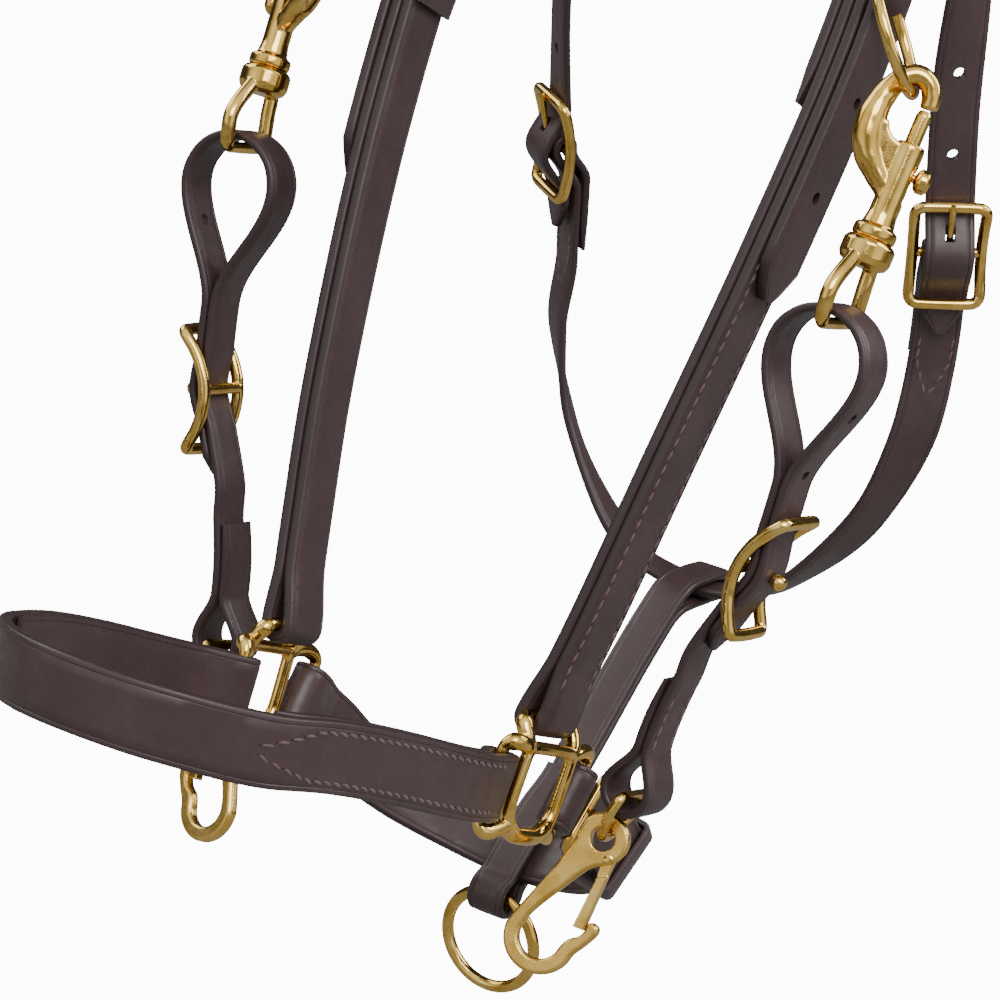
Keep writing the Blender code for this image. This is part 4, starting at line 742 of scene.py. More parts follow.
def cheekpiece(side, name):
    """Two plies from the square to the crown buckle, with its top end turned in below the bar."""
    half_ply = PLY / 2
    third = -half_ply - PLY
    clear_s = CROWN_BAR_S - 9.0
    profile = join(
        runs((CHEEK_TAPER_S, third), (clear_s, third, 12.0),
             (CROWN_BAR_S, CROWN_BAR_H - CROWN_FOLD, 8.0)),
        bend((CROWN_BAR_S, CROWN_BAR_H), CROWN_FOLD, -90, 90),
        runs((CROWN_BAR_S, half_ply), (FOLD_EASE, half_ply, 19.0), (1.0, SQUARE_FOLD, 6.0, EASE)),
        bend((0.0, 0.0), SQUARE_FOLD, 90, 270),
        runs((1.0, -SQUARE_FOLD), (FOLD_EASE, -half_ply, 6.0, EASE), (clear_s, -half_ply, 19.0)))
    made = strap(f"{name}_cheekpiece", CHEEK, profile, STRAP_WIDTH, LEATHER, skive_start=True)
    cut_fold_slot(made, name, "crown")
    settle(made)
    for way, row in ROWS:
        stitches(f"{name}_cheekpiece_{row}_stitches", CHEEK, 13.0, BILLET_TIP_S + 18.0,
                 way * (STRAP_WIDTH / 2 - 3.3), lambda s: surface(profile, s, LEATHER), side)


def crown_tail():
    """The near end of the crown's front branch, from its tip up through the buckle."""
    clear = CROWN_TOP_BAR_H - BUCKLE_BAR - GAP - LEATHER / 2
    return join(runs((BILLET_TIP_S, BILLET_H), (BILLET_TIP_S + 13.0, BILLET_H, 7.0),
                     (CROWN_BAR_S, BILLET_H, 20.0),
                     (CROWN_BAR_S + CROWN_BUCKLE_LENGTH, clear, 3.5, EASE),
                     (CROWN_BAR_S + 48.0, 0.0, 8.0, EASE)))


def throat_billet():
    """From the off side's pointed tip over the poll to the near side's tip."""
    s = THROAT_BUCKLE_S
    over = THROAT_POLL_S
    near = join(runs((over + POLL_FLAT / 2, LEATHER / 2), (over + 60.0, 0.0, 12.0, EASE),
                     (s - TOP_BAR_S, 0.0, 15.0),
                     (s, THROAT_BAR_H + THIN_FOLD + THROAT_STACK, 4.0, EASE),
                     (s + TOP_BAR_S, 0.0, 4.0, EASE), (s + TOP_BAR_S + 14.0, 0.0, 5.0)))
    return join([(2 * over - a, h) for a, h in reversed(near)], near)


def crownpiece():
    """Front branches to the cheeks, and the rear branch whose ends buckle to the throat strap."""
    over = CHEEK.length
    rise = LEATHER / 2
    flat = over / 2 - POLL_FLAT / 2
    tail = crown_tail()
    near = join(tail, run(tail[-1], (flat - 20.0, rise), 13.0, ease=True), [(flat, rise)])
    far = [(over - s, h) for s, h in reversed(near)]
    crown = strap("crownpiece", CHEEK, join(near, far), STRAP_WIDTH, LEATHER,
                  start_tip=13.0, end_tip=13.0)
    rear = strap("crown_rear_branch", THROAT, throat_billet(), THROAT_WIDTH, THIN_LEATHER,
                 start_tip=12.0, end_tip=12.0, node="")
    for _, name in SIDES:
        cut_billet_slot(crown, name, "crown")
        cut_billet_slot(rear, name, "throat")
        for k in (1, 2, 3):
            punch(crown, f"{name}_crown_hole_{k}", CHEEK, CROWN_BAR_S - 6.0 - k * 36.0,
                  BILLET_H, depth=LEATHER + 0.6)
            punch(rear, f"{name}_throat_hole_{k}", THROAT, THROAT_BUCKLE_S - 8.0 - k * 33.0, 0.0)
    settle(crown)
    settle(rear)


def throat_strap():
    s = THROAT_BUCKLE_S
    front = -THROAT_STACK
    back = front - THIN_PLY
    near = join(
        runs((s + 46.0, back), (s + 15.0, back, 9.0),
             (s + 2.0, THROAT_BAR_H - THIN_FOLD, 3.5, EASE)),
        bend((s, THROAT_BAR_H), THIN_FOLD, -90, -270),
        runs((s + 1.0, THROAT_BAR_H + THIN_FOLD), (s + TOP_BAR_S, front, 3.0, EASE),
             (s + 50.0, front, 10.0), (s + 80.0, 0.0, 9.0, EASE)))
    off = [(2 * THROAT_LOW_S - a, h) for a, h in reversed(near)]
    profile = join(near, run(near[-1], off[0], 13.0), off)
    made = strap("throat_strap", THROAT, profile, THROAT_WIDTH, THIN_LEATHER,
                 skive_start=True, skive_end=True)
    for _, name in SIDES:
        cut_fold_slot(made, name, "throat")
    settle(made)
    reach = THROAT_WIDTH / 2 - 3.0
    tip = s + 62.0
    for way, row in ROWS:
        for side, name in SIDES:
            stitches(f"{name}_throat_{row}_stitches", THROAT, s + 38.0, tip,
                     lambda a: way * reach * min(1.0, (tip - a) / 14.0) ** 0.8,
                     lambda a: surface(profile, a, THIN_LEATHER), side)


def on_course(course, s, h, reverse=False):
    """A bench on a strap: up runs along the course, or against it, and out is outward."""
    point, tangent, out, _ = course.place(s)
    up = -tangent if reverse else tangent
    return Bench(point + out * h, up.cross(out), up)


# For each tongue: the bench on its bar, the bar's radius, and how far along and above the bar the
# frame's far bar lies
TONGUES = {
    "crown": (on_course(CHEEK, CROWN_BAR_S, CROWN_BAR_H), BUCKLE_BAR, CROWN_BUCKLE_LENGTH,
              CROWN_TOP_BAR_H - CROWN_BAR_H),
    "throat": (on_course(THROAT, THROAT_BUCKLE_S, THROAT_BAR_H, reverse=True), THROAT_BAR,
               TOP_BAR_S, END_BAR_RISE),
    "chin": (on_course(CHIN, CHIN_BAR_S, CHIN_BAR_H, reverse=True), BUCKLE_BAR,
             CHIN_BUCKLE_LENGTH, CHIN_TOP_BAR_H - CHIN_BAR_H),
}
TONGUE_REST = 0.35       # air between a tongue and the bars
CUT = 14.0               # how far a slot's cutter reaches past the leather


def tongue_heights(which):
    """How far outside the bar's middle the tongue's middle lies at the bar and at its tip."""
    _, bar, _, rise = TONGUES[which]
    return bar + TONGUE_REST + TONGUE_RADIUS, rise + BUCKLE_BAR + TONGUE_REST + TONGUE_RADIUS


def cut_slot(target, name, which, outline):
    """Cuts a slot as wide as the tongue needs; the outline is in (up, out) at the bar."""
    bench = TONGUES[which][0]
    half = TONGUE_RADIUS + TONGUE_ROOM
    rings = [[bench.at(x, u, o) for u, o in outline] for x in (-half, half)]
    cut(target, skin(f"{name}_{which}_slot", rings, HAVANA))


def cut_fold_slot(target, name, which):
    """The slot through a strap's fold that lets the tongue ride on the bar."""
    back = tongue_heights(which)[0] + TONGUE_RADIUS + TONGUE_ROOM
    cut_slot(target, name, which, [(-back, -CUT), (CUT, -CUT), (CUT, CUT), (-back, CUT)])


def cut_billet_slot(target, name, which):
    """The hole through a billet that the tongue passes, with room for the tongue to lift."""
    reach = TONGUES[which][2]
    wrap, tip = tongue_heights(which)
    half = TONGUE_RADIUS + TONGUE_ROOM
    turn = math.radians(TONGUE_LIFT)
    lifted = [(u * math.cos(turn) - o * math.sin(turn), u * math.sin(turn) + o * math.cos(turn))
              for u, o in ((reach, tip + half), (1.0, wrap + half))]
    cut_slot(target, name, which, [(1.0, wrap - half), (reach, tip - half)] + lifted)


# Chin strap and jowl strap -----------------------------------
def chin_billet():
    """Folded on the near square, under the buckle's far bar, over its heel bar to a tip."""
    clear = CHIN_TOP_BAR_H - BUCKLE_BAR - GAP - LEATHER / 2
    profile = join(
        run((8.0, -SQUARE_FOLD - 0.6), (1.0, -SQUARE_FOLD), 8.0),
        bend((0.0, 0.0), SQUARE_FOLD, -90, -270),
        runs((1.0, SQUARE_FOLD), (CHIN_BAR_S - CHIN_BUCKLE_LENGTH, clear, 4.0, EASE),
             (CHIN_BAR_S, CHIN_BILLET_H, 4.0, EASE), (CHIN_TIP_S - 5.0, CHIN_BILLET_H, 8.0)),
        [(CHIN_TIP_S, CHIN_BILLET_H)])
    made = strap("chin_billet", CHIN, profile, STRAP_WIDTH, LEATHER, end_tip=5.0)
    cut_billet_slot(made, "near", "chin")
    settle(made)


def chin_strap():
    """From the chin buckle under the chin to the off square."""
    length = CHIN.length
    front = CHIN_BAR_H + CHIN_FOLD
    inner = front - PLY
    off_inner = SQUARE_FOLD - PLY
    profile = join(
        runs((CHIN_BAR_S + 36.0, inner), (CHIN_BAR_S + 15.0, inner, 9.0),
             (CHIN_BAR_S + 2.0, CHIN_BAR_H - CHIN_FOLD, 4.0, EASE)),
        bend((CHIN_BAR_S, CHIN_BAR_H), CHIN_FOLD, -90, -270),
        runs((CHIN_BAR_S + 1.0, front), (CHIN_BAR_S + 40.0, front, 8.0),
             (length / 2 - 20.0, 0.0, 9.0, EASE), (length / 2 + 20.0, 0.0, 9.0),
             (length - 60.0, SQUARE_FOLD, 9.0, EASE), (length - 1.0, SQUARE_FOLD, 9.0)),
        bend((length, 0.0), SQUARE_FOLD, 90, -90),
        runs((length - 1.0, -SQUARE_FOLD), (length - FOLD_EASE, off_inner, 6.0, EASE),
             (length - 50.0, off_inner, 9.0)))
    made = strap("chin_strap", CHIN, profile, STRAP_WIDTH, LEATHER,
                 skive_start=True, skive_end=True)
    cut_fold_slot(made, "near", "chin")
    settle(made)
    for way, row in ROWS:
        stitches(f"off_chin_{row}_stitches", CHIN, length - 50.0, length - 12.0,
                 way * (STRAP_WIDTH / 2 - 4.0), SQUARE_FOLD + LEATHER / 2)


def jowl_strap():
    """Round the chin ring, up both faces of the chin strap, and round the throat strap."""
    ring_fold = CHIN_RING_WIRE + GAP + 3 * CURVE_ROOM + THIN_LEATHER / 2
    round_chin = LEATHER / 2 + GAP + CURVE_ROOM + THIN_LEATHER / 2
    round_throat = THIN_LEATHER + GAP + CURVE_ROOM
    half_ply = THIN_PLY / 2
    chin_s = nearest_s(JOWL, CHIN_MIDDLE, 0.0, 60.0)
    last = JOWL.length
    outer = join(
        bend((0.0, 0.0), ring_fold, 180, 90, 4),
        runs((1.0, ring_fold), (chin_s - 13.5, round_chin, 4.0, EASE),
             (chin_s + 13.5, round_chin, 8.0), (chin_s + 34.0, half_ply, 6.0, EASE),
             (last - 44.0, half_ply, 9.0), (last - 25.0, round_throat, 6.0, EASE),
             (last, round_throat, 8.0)))
    inner = [(s, -h) for s, h in reversed(outer)]
    seam = chin_s + 40.0
    low = [p for p in inner if p[0] < seam - 1.0]
    high = [p for p in inner if p[0] > seam + 1.0]
    profile = join(low, outer, bend((last, 0.0), round_throat, 90, -90, 6), high)
    settle(strap("jowl_strap", JOWL, profile, JOWL_WIDTH, THIN_LEATHER))
    for way, name in SIDES:
        stitches(f"jowl_{name}_stitches", JOWL, chin_s + 34.0, last - 44.0,
                 way * (JOWL_WIDTH / 2 - 2.6), half_ply + THIN_LEATHER / 2)


# Ring tabs ---------------------------------------------------
RING_HANG_S = 280.5      # where the cheek ring hangs, measured up the cheek
RING_FORWARD = 18.0      # how far in front of the cheek's middle it hangs
RING_TURN = 45.0         # degrees between the tab and the point opposite the hook
TAB_LEATHER = 2.6
TAB_WIDTH = 10.0
TAB_FOLD = RING_WIRE + GAP + 0.6 + TAB_LEATHER / 2
RING_HEIGHT = BILLET_H + LEATHER / 2 + GAP + TAB_LEATHER / 2 + TAB_FOLD
TAB_SEAM_H = BILLET_H + LEATHER / 2 + GAP + TAB_LEATHER + GAP / 2
TAB_SEAM_FORWARD = 7.2
CROWN_KEEPER_S = 309.0
RING_ACROSS = vec(0.942, 0.295, -0.151)      # the ring's plane, by two of its directions
RING_RISE = vec(-0.014, 0.492, 0.868)


def ring_hanger():
    """The ring's frame: origin at its wire in the tab, up away from its centre."""
    point, _, out, across = CHEEK.place(RING_HANG_S)
    turn = math.radians(RING_TURN)
    return Bench(point + out * RING_HEIGHT - across * RING_FORWARD,
                 RING_ACROSS * math.cos(turn) - RING_RISE * math.sin(turn),
                 RING_RISE * math.cos(turn) + RING_ACROSS * math.sin(turn))


HANGER = ring_hanger()
RING = Bench(HANGER.at(0.0, -RING_RADIUS), HANGER.right, HANGER.up)
HOOK_POINT = RING.at(RING_RADIUS * math.sin(math.radians(RING_TURN)),
                     -RING_RADIUS * math.cos(math.radians(RING_TURN)))


def ring_tab(side, name):
    """A small folded tab that hangs the ring; its plies are sewn under the crown keeper."""
    start_up = square_to(CHEEK.place(RING_HANG_S)[1], HANGER.right)
    start_out = HANGER.right.cross(start_up)
    guides = [(HANGER.origin, start_out), (HANGER.origin + start_up * 9.0, start_out)]
    for s in (CROWN_KEEPER_S - 6.0, CROWN_KEEPER_S + 6.0):
        point, _, out, across = CHEEK.place(s)
        guides.append((point + out * TAB_SEAM_H - across * TAB_SEAM_FORWARD, out))
    course = Course(guides)
    ply = (TAB_LEATHER + GAP) / 2
    end = course.length - 1.0
    outer = join(bend((0.0, 0.0), TAB_FOLD, 180, 90, 4),
                 runs((1.0, TAB_FOLD), (14.0, ply, 4.0, EASE), (end, ply, 7.0)))
    inner = [(s, -h) for s, h in reversed(outer)]
    settle(strap(f"{name}_ring_tab", course, join(inner, outer), TAB_WIDTH, TAB_LEATHER,
                 crease=False))
    stitches(f"{name}_ring_tab_stitches", course, 12.0, 19.0, 0.0,
             lambda s: surface(outer, s, TAB_LEATHER), side)


# Bit straps --------------------------------------------------
SNAP_HOOK = (-6.9, 56.2)     # where the ring's wire passes the hook, from the swivel's middle
SNAP_RIGHT = vec(0.437, -0.873, -0.216)
SNAP_UP = vec(0.330, -0.067, 0.941)
SNAP = Bench(HOOK_POINT - SNAP_RIGHT * SNAP_HOOK[0] - SNAP_UP * SNAP_HOOK[1], SNAP_RIGHT, SNAP_UP)
EYE_DROP = 26.5
BIT_TOP = SNAP.at(0.0, -EYE_DROP)
BIT = Course([
    (BIT_TOP, vec(-0.04, -0.985, -0.144)),
    (vec(30.3, -126.2, 172.8), vec(-0.04, -0.985, -0.1)),
    (vec(27.8, -124.6, 135.6), vec(-0.04, -0.99, -0.1)),
    (vec(25.2, -119.8, 97.4), vec(-0.04, -0.985, -0.17)),
    (vec(22.4, -105.0, 62.6), vec(-0.04, -0.95, -0.3)),
    (vec(20.2, -97.0, 33.0), vec(-0.04, -0.985, -0.17)),
    (vec(18.0, -95.0, 5.0), vec(-0.04, -0.99, -0.1)),
])
BIT_END = BIT.length
BIT_PLY = (THIN_LEATHER + GAP) / 2
EYE_LOOP = 18.9
EYE_ABOVE = 4.8          # the loop passes this far above the eye's bar
EYE_LOOP_END = 60.0
CONWAY_S = nearest_s(BIT, vec(25.2, -119.8, 97.4), 40.0, 140.0)
CONWAY_BUMP = 2.2
LINK_LOOP = 9.0
LINK_H = -3.6


def eye_ease(s):
    """Height of the outer ply where the loop in the eye closes down onto the other ply."""
    t = (s - (EYE_LOOP - EYE_ABOVE)) / (EYE_LOOP_END - EYE_LOOP + EYE_ABOVE)
    return EYE_LOOP + (BIT_PLY - EYE_LOOP) * smooth(t)


def bit_strap(side, name):
    """A loop in the snap's eye, closed by the Conway buckle, with a sewn loop round the link."""
    k = CONWAY_S
    top = EYE_LOOP - EYE_ABOVE
    low = BIT_END - 20.0
    turn = BIT_END - 3.0
    outer = runs((k + 34.0, BIT_PLY), (k + 16.0, BIT_PLY, 7.0),
                 (k, BIT_PLY + CONWAY_BUMP, 4.0, EASE), (k - 16.0, BIT_PLY, 4.0, EASE),
                 (EYE_LOOP_END, BIT_PLY, 7.0), (top, EYE_LOOP, 4.5, EASE))
    inner = runs((top, -EYE_LOOP), (EYE_LOOP_END, -BIT_PLY, 4.5, EASE),
                 (k - 16.0, -BIT_PLY, 7.0), (k, CONWAY_BUMP - BIT_PLY, 4.0, EASE),
                 (k + 16.0, -BIT_PLY, 4.0, EASE), (k + 36.0, -BIT_PLY, 7.0),
                 (k + 50.0, 0.0, 5.0, EASE), (low, 0.0, 8.0), (turn, LINK_H + LINK_LOOP, 4.5, EASE))
    below = runs((turn, LINK_H - LINK_LOOP), (low, LINK_H, 4.5, EASE), (k + 51.0, LINK_H, 8.0))
    profile = join(outer, bend((top, 0.0), EYE_LOOP, 90, 270, 12), inner,
                   bend((turn, LINK_H), LINK_LOOP, 90, -90), below)
    body = f"{name}_bit_strap"
    made = strap(body, BIT, profile, BIT_WIDTH, THIN_LEATHER, start_tip=9.0, skive_end=True,
                 body=body)
    punch(made, f"{name}_stud_hole", BIT, k, CONWAY_BUMP, radius=2.0, depth=9.0)
    for n, s in enumerate((30.0, 54.0)):
        punch(made, f"{name}_bit_strap_hole_{n + 1}", BIT, s, eye_ease(s), radius=2.0,
              depth=8.0 - 3.6 * n)
    settle(made)
    for way, row in ROWS:
        stitches(f"{name}_bit_strap_{row}_stitches", BIT, k + 56.0, BIT_END - 19.0,
                 way * (BIT_WIDTH / 2 - 3.0), THIN_LEATHER / 2, side, body=body)


# Brass -------------------------------------------------------
PIECES = {}


def finer(points, values, closed):
    """A smooth line through the points, with the values carried along it."""
    count = len(points)
    tangents = []
    for i in range(count):
        before = points[i - 1] if i > 0 or closed else points[0]
        after = points[(i + 1) % count] if i < count - 1 or closed else points[-1]
        tangents.append((after - before).normalized())
    line, carried = [], []
    for i in range(count if closed else count - 1):
        n = (i + 1) % count
        a, b = points[i], points[n]
        length = (b - a).length
        steps = max(1, math.ceil(length / PATH_STEP))
        for k in range(steps):
            t = k / steps
            line.append(a * (2 * t**3 - 3 * t**2 + 1) + tangents[i] * length * (t**3 - 2 * t**2 + t)
                        + b * (3 * t**2 - 2 * t**3) + tangents[n] * length * (t**3 - t**2))
            carried.append(values[i] + (values[n] - values[i]) * smooth(t))
    if not closed:
        line.append(points[-1])
        carried.append(values[-1])
    return line, carried


def brass(name, rings, closed=False):
    """A brass piece or cutter, kept until stands() puts it in its node's place."""
    PIECES[name] = skin(f"{name}_finish", rings, POLISHED, closed=closed)
    return PIECES[name]


def tube_rings(path, radii, sides, closed):
    """Round rings along a path of points, with a radius for each."""
    last = len(path) - 1
    rings = []
    side_way = None
    for i, point in enumerate(path):
        before = path[i - 1] if i > 0 or closed else path[0]
        after = path[(i + 1) % len(path)] if i < last or closed else path[last]
        tangent = (after - before).normalized()
        if side_way is None:
            side_way = vec(0, 0, 1) if abs(tangent.z) < 0.8 else vec(1, 0, 0)
        side_way = square_to(side_way, tangent)
        rings.append(circle(point, side_way, tangent.cross(side_way), radii[i], sides, 0.5))
    return rings


def tube(name, path, radius, sides=8, closed=False):
    """A bar along a path; radius is a number or one number per point."""
    radii = radius if isinstance(radius, list) else [radius] * len(path)
    path, radii = finer(path, radii, closed)
    return brass(name, tube_rings(path, radii, sides * ROUND_FINENESS, closed), closed)


def arc(centre, radius, first, last, count=8, out=0.0):
    """Local points (right, up, out) on an arc, angles in degrees from right towards up."""
    angles = [math.radians(first + (last - first) * k / count) for k in range(count + 1)]
    return [(centre[0] + radius * math.cos(a), centre[1] + radius * math.sin(a), out)
            for a in angles]


def rounded_loop(width, height, corner, bottom_corner=None, corner_points=3):
    """A closed rounded rectangle about the local origin."""
    low = corner if bottom_corner is None else bottom_corner
    points = []
    for cx, cy, r, first in ((1, 1, corner, 0), (-1, 1, corner, 90),
                             (-1, -1, low, 180), (1, -1, low, 270)):
        centre = (cx * (width / 2 - r), cy * (height / 2 - r))
        points += arc(centre, r, first, first + 90, corner_points)
    return points


def turned(name, bench, centre, axis, stations, sides=10):
    """A turned piece: stations are (distance along axis, radius)."""
    side_way = square_to(bench.right if abs(axis.dot(bench.right)) < 0.8 else bench.up, axis)
    other = axis.cross(side_way)
    return brass(name, [circle(centre + axis * distance, side_way, other, radius,
                               sides * ROUND_FINENESS) for distance, radius in stations])


RIM = 0.9                # how far a cast plate's rim is drawn in
CURVED_OUTLINE = 12      # outlines with more points than this are curves


def plate(name, bench, outline, thickness):
    """A flat piece split about the bench plane; a long outline is rounded and has a soft rim."""
    outline = [p[:2] for p in outline]
    stations = [(0.0, -thickness / 2), (0.0, thickness / 2)]
    if len(outline) > CURVED_OUTLINE:
        flat = [vec(x, y, 0.0) for x, y in outline]
        flat, _ = finer(flat, [0.0] * len(flat), True)
        outline = [(p.x, p.y) for p in flat]
        stations = [(RIM, -thickness / 2 - 0.25), (0.35 * RIM, -thickness / 2 + 0.3),
                    (0.0, -thickness / 2 + RIM), (0.0, thickness / 2 - RIM),
                    (0.35 * RIM, thickness / 2 - 0.3), (RIM, thickness / 2 + 0.25)]
    count = len(outline)
    rings = []
    for inset, z in stations:
        ring = []
        for k, (x, y) in enumerate(outline):
            before, after = outline[k - 1], outline[(k + 1) % count]
            dx, dy = after[0] - before[0], after[1] - before[1]
            span = math.hypot(dx, dy)
            ring.append(bench.at(x - dy / span * inset, y + dx / span * inset, z))
        rings.append(ring)
    return brass(name, rings)


def tongue(name, which):
    """Round the bar and out to rest on the far bar."""
    bench, _, reach, _ = TONGUES[which]
    wrap, tip = tongue_heights(which)
    around = [bench.at(0.0, wrap * math.cos(a), wrap * math.sin(a))
              for a in (math.radians(-30 - 40 * k) for k in range(7))]
    shank = [bench.at(0.0, reach * t, wrap + (tip - wrap) * t) for t in (0.5, 1.0)]
    path = around + shank + [bench.at(0.0, reach + 2.4, tip)]
    radii = [TONGUE_RADIUS] * (len(path) - 1) + [TONGUE_RADIUS * 0.7]
    tube(f"{name}_{which}_tongue", path, radii)


def heel_buckle(name, which):
    """A frame whose near side is the bar that the strap folds round."""
    bench, _, length, rise = TONGUES[which]
    half = STRAP_WIDTH / 2 + 2.8
    corner = 5.0
    outline = (arc((half - 2.0, 2.0), 2.0, 270, 360, 2)
               + arc((half - corner, length - corner), corner, 0, 90, 3)
               + arc((-half + corner, length - corner), corner, 90, 180, 3)
               + arc((-half + 2.0, 2.0), 2.0, 180, 270, 2))
    path = [bench.at(x, y, rise * y / length) for x, y, _ in outline]
    tube(f"{name}_{which}_buckle", path, BUCKLE_BAR, closed=True)


def throat_buckle(name):
    """A dished rectangular frame with a bar across its middle."""
    bench = TONGUES["throat"][0]
    half = THROAT_WIDTH / 2 + 4.4
    outline = []
    corners = rounded_loop(2 * half, 2 * TOP_BAR_S, 4.0)
    for k, (x, y, _) in enumerate(corners):
        outline.append((x, y))
        next_y = corners[(k + 1) % len(corners)][1]
        if abs(next_y - y) > TOP_BAR_S:
            outline += [(x, y + (next_y - y) * t) for t in (0.2, 0.4, 0.6, 0.8)]
    path = []
    for x, y in outline:
        waist = 1.0 - 0.05 * math.cos(math.pi * y / (2 * TOP_BAR_S)) if abs(x) > half - 0.1 else 1.0
        path.append(bench.at(x * waist, y, END_BAR_RISE * (y / TOP_BAR_S) ** 2))
    frame = tube(f"{name}_throat_buckle", path, BUCKLE_BAR, closed=True)
    bar = tube(f"{name}_throat_buckle_bar",
               [bench.at(-half * 0.95, 0.0), bench.at(half * 0.95, 0.0)], THROAT_BAR)
    fuse(frame, bar)


def chin_ring():
    """A round ring for the lead rope, hanging in the jowl strap's lower fold."""
    point, _, _, across = JOWL.place(0.0)
    hang = Bench(point, across, vec(-0.15, 0.0, 1.0))
    ring = Bench(hang.at(0.0, -CHIN_RING_RADIUS), hang.right, hang.up)
    path = ring.path(arc((0.0, 0.0), CHIN_RING_RADIUS, 0, 360, 22)[:-1])
    tube("chin_ring", path, CHIN_RING_WIRE, closed=True)


def cheek_ring(name):
    path = RING.path(arc((0.0, 0.0), RING_RADIUS, 0, 360, 24)[:-1])
    tube(f"{name}_cheek_ring", path, RING_WIRE, closed=True)


def halter_square(name):
    """The CAD's window and loops, with the casting's fuller horns and heavy lower edge."""
    window = rounded_loop(WINDOW_WIDTH + 2 * SQUARE_BAR, WINDOW_HEIGHT + 2 * SQUARE_BAR,
                          4.0, 11.0, 4)
    weight = [SQUARE_BAR + smooth((-y - 7.0) / 8.0) for _, y, _ in window]
    frame_piece = tube(f"{name}_halter_square", SQUARE.path(window), weight, closed=True)
    shoulder = STRAP_WIDTH / 2 + 1.2
    corner = WINDOW_WIDTH / 2 + SQUARE_BAR - 1.2
    high = WINDOW_HEIGHT / 2 + SQUARE_BAR - 1.2
    bar = SQUARE_BAR - 0.12
    loops = {
        "front": ([(-corner, high, 0.0), (-18.5, 16.8, -0.4), (-23.0, 16.8, -2.2),
                   (-LOOP_REACH, shoulder, FRONT_STEP), (-LOOP_REACH, -shoulder, FRONT_STEP),
                   (-23.0, -16.8, -2.4), (-18.0, -15.2, -0.6), (-12.5, -12.0, 0.0)],
                  [2.1, 2.7, 2.9, bar, bar, 2.6, 2.4, 2.6]),
        "top": ([(-corner, high, 0.0), (-16.4, 19.0, -1.6), (-16.4, 23.6, -4.8),
                 (-shoulder, TOP_REACH, TOP_STEP), (shoulder, TOP_REACH, TOP_STEP),
                 (16.4, 23.6, -4.8), (16.4, 19.0, -1.6), (corner, high, 0.0)],
                [2.1, 2.5, 2.9, bar, bar, 2.7, 2.4, 2.1]),
        "rear": ([(corner, high - 0.6, 0.0), (20.5, 17.0, -0.3), (28.0, 17.0, -1.6),
                  (REAR_REACH + REAR_SLANT, shoulder - 0.6, REAR_STEP),
                  (REAR_REACH - REAR_SLANT, -shoulder - 0.6, REAR_STEP),
                  (20.4, -16.4, -1.8), (16.4, -14.6, -0.4), (12.0, -12.4, 0.0)],
                 [2.1, 2.4, 2.5, bar, bar, 2.3, 2.3, 2.6]),
    }
    for which, (points, radii) in loops.items():
        loop = tube(f"{name}_halter_square_{which}_loop", SQUARE.path(points), radii)
        fuse(frame_piece, loop)


BARREL = 4.9             # bolt snap: the barrel's radius
BARREL_END = 40.0
BORE = 3.3               # radius of its bore
BORE_FLOOR = 11.0
SLOT_HALF = 1.8          # half the width of the thumb knob's slot
KNOB_ROOM = 1.9          # from the knob's middle to the slot's end
WEB = 6.6                # thickness of the web between barrel and hook
PLUNGER = 2.7            # the sliding bolt's radius
PLUNGER_FOOT = 26.5
KNOB_UP = 29.5
BOLT_TRAVEL = 8.0
SPRING_FOOT = BORE_FLOOR + 2.6
SPRING_TURNS = 4
SPRING_RADIUS = 2.3
SPRING_WIRE = 0.45
SHANK = 1.8              # swivel eye: its shank's radius
SHANK_ROOM = 0.4
EYE_BAR = 2.0
EYE_ARM = 2.6
EYE_HALF = 12.4          # half the eye's width


def bolt_snap(name):
    line = [(-1.8, 21.6), (-7.6, 26.4), (-12.6, 31.2), (-15.6, 37.0), (-16.5, 43.5),
            (-15.8, 51.0), (-13.2, 58.2), (-8.2, 62.9), (-3.4, 62.2), (-0.4, 58.4), (0.5, 53.6)]
    radii = [3.6, 4.2, 4.8, 5.1, 4.9, 4.2, 3.6, 3.5, 3.4, 3.2, 2.9]
    body = tube(f"{name}_bolt_snap", SNAP.path(line), radii)
    barrel = turned(f"{name}_bolt_snap_barrel", SNAP, SNAP.origin, SNAP.up,
                    [(4.9, 7.2), (5.6, 7.6), (8.6, 7.6), (9.6, 5.6), (14.0, BARREL),
                     (38.8, BARREL), (BARREL_END, 4.5)], sides=12)
    fuse(body, barrel)
    outline = [(-1.0, 16.0), (-6.5, 22.0), (-12.5, 29.0), (-15.5, 36.0), (-14.0, 44.0),
               (-10.8, 44.5), (-9.6, 41.8), (-7.2, 39.6), (-4.0, 38.7), (0.0, 38.5)]
    web = plate(f"{name}_bolt_snap_web", SNAP, outline, WEB)
    fuse(body, web)
    bore = turned(f"{name}_bolt_snap_bore", SNAP, SNAP.origin, SNAP.up,
                  [(BORE_FLOOR, BORE), (BARREL_END + 3.0, BORE)], sides=12)
    cut(body, bore)
    shank = turned(f"{name}_bolt_snap_shank_bore", SNAP, SNAP.origin, SNAP.up,
                   [(3.0, SHANK + SHANK_ROOM), (BORE_FLOOR + 1.0, SHANK + SHANK_ROOM)])
    cut(body, shank)
    low = KNOB_UP - BOLT_TRAVEL - KNOB_ROOM
    high = KNOB_UP + KNOB_ROOM
    corners = ((low, -SLOT_HALF), (high, -SLOT_HALF), (high, SLOT_HALF), (low, SLOT_HALF))
    slot = brass(f"{name}_bolt_snap_slot", [[SNAP.at(x, up, out) for up, out in corners]
                                            for x in (0.0, 9.0)])
    cut(body, slot)


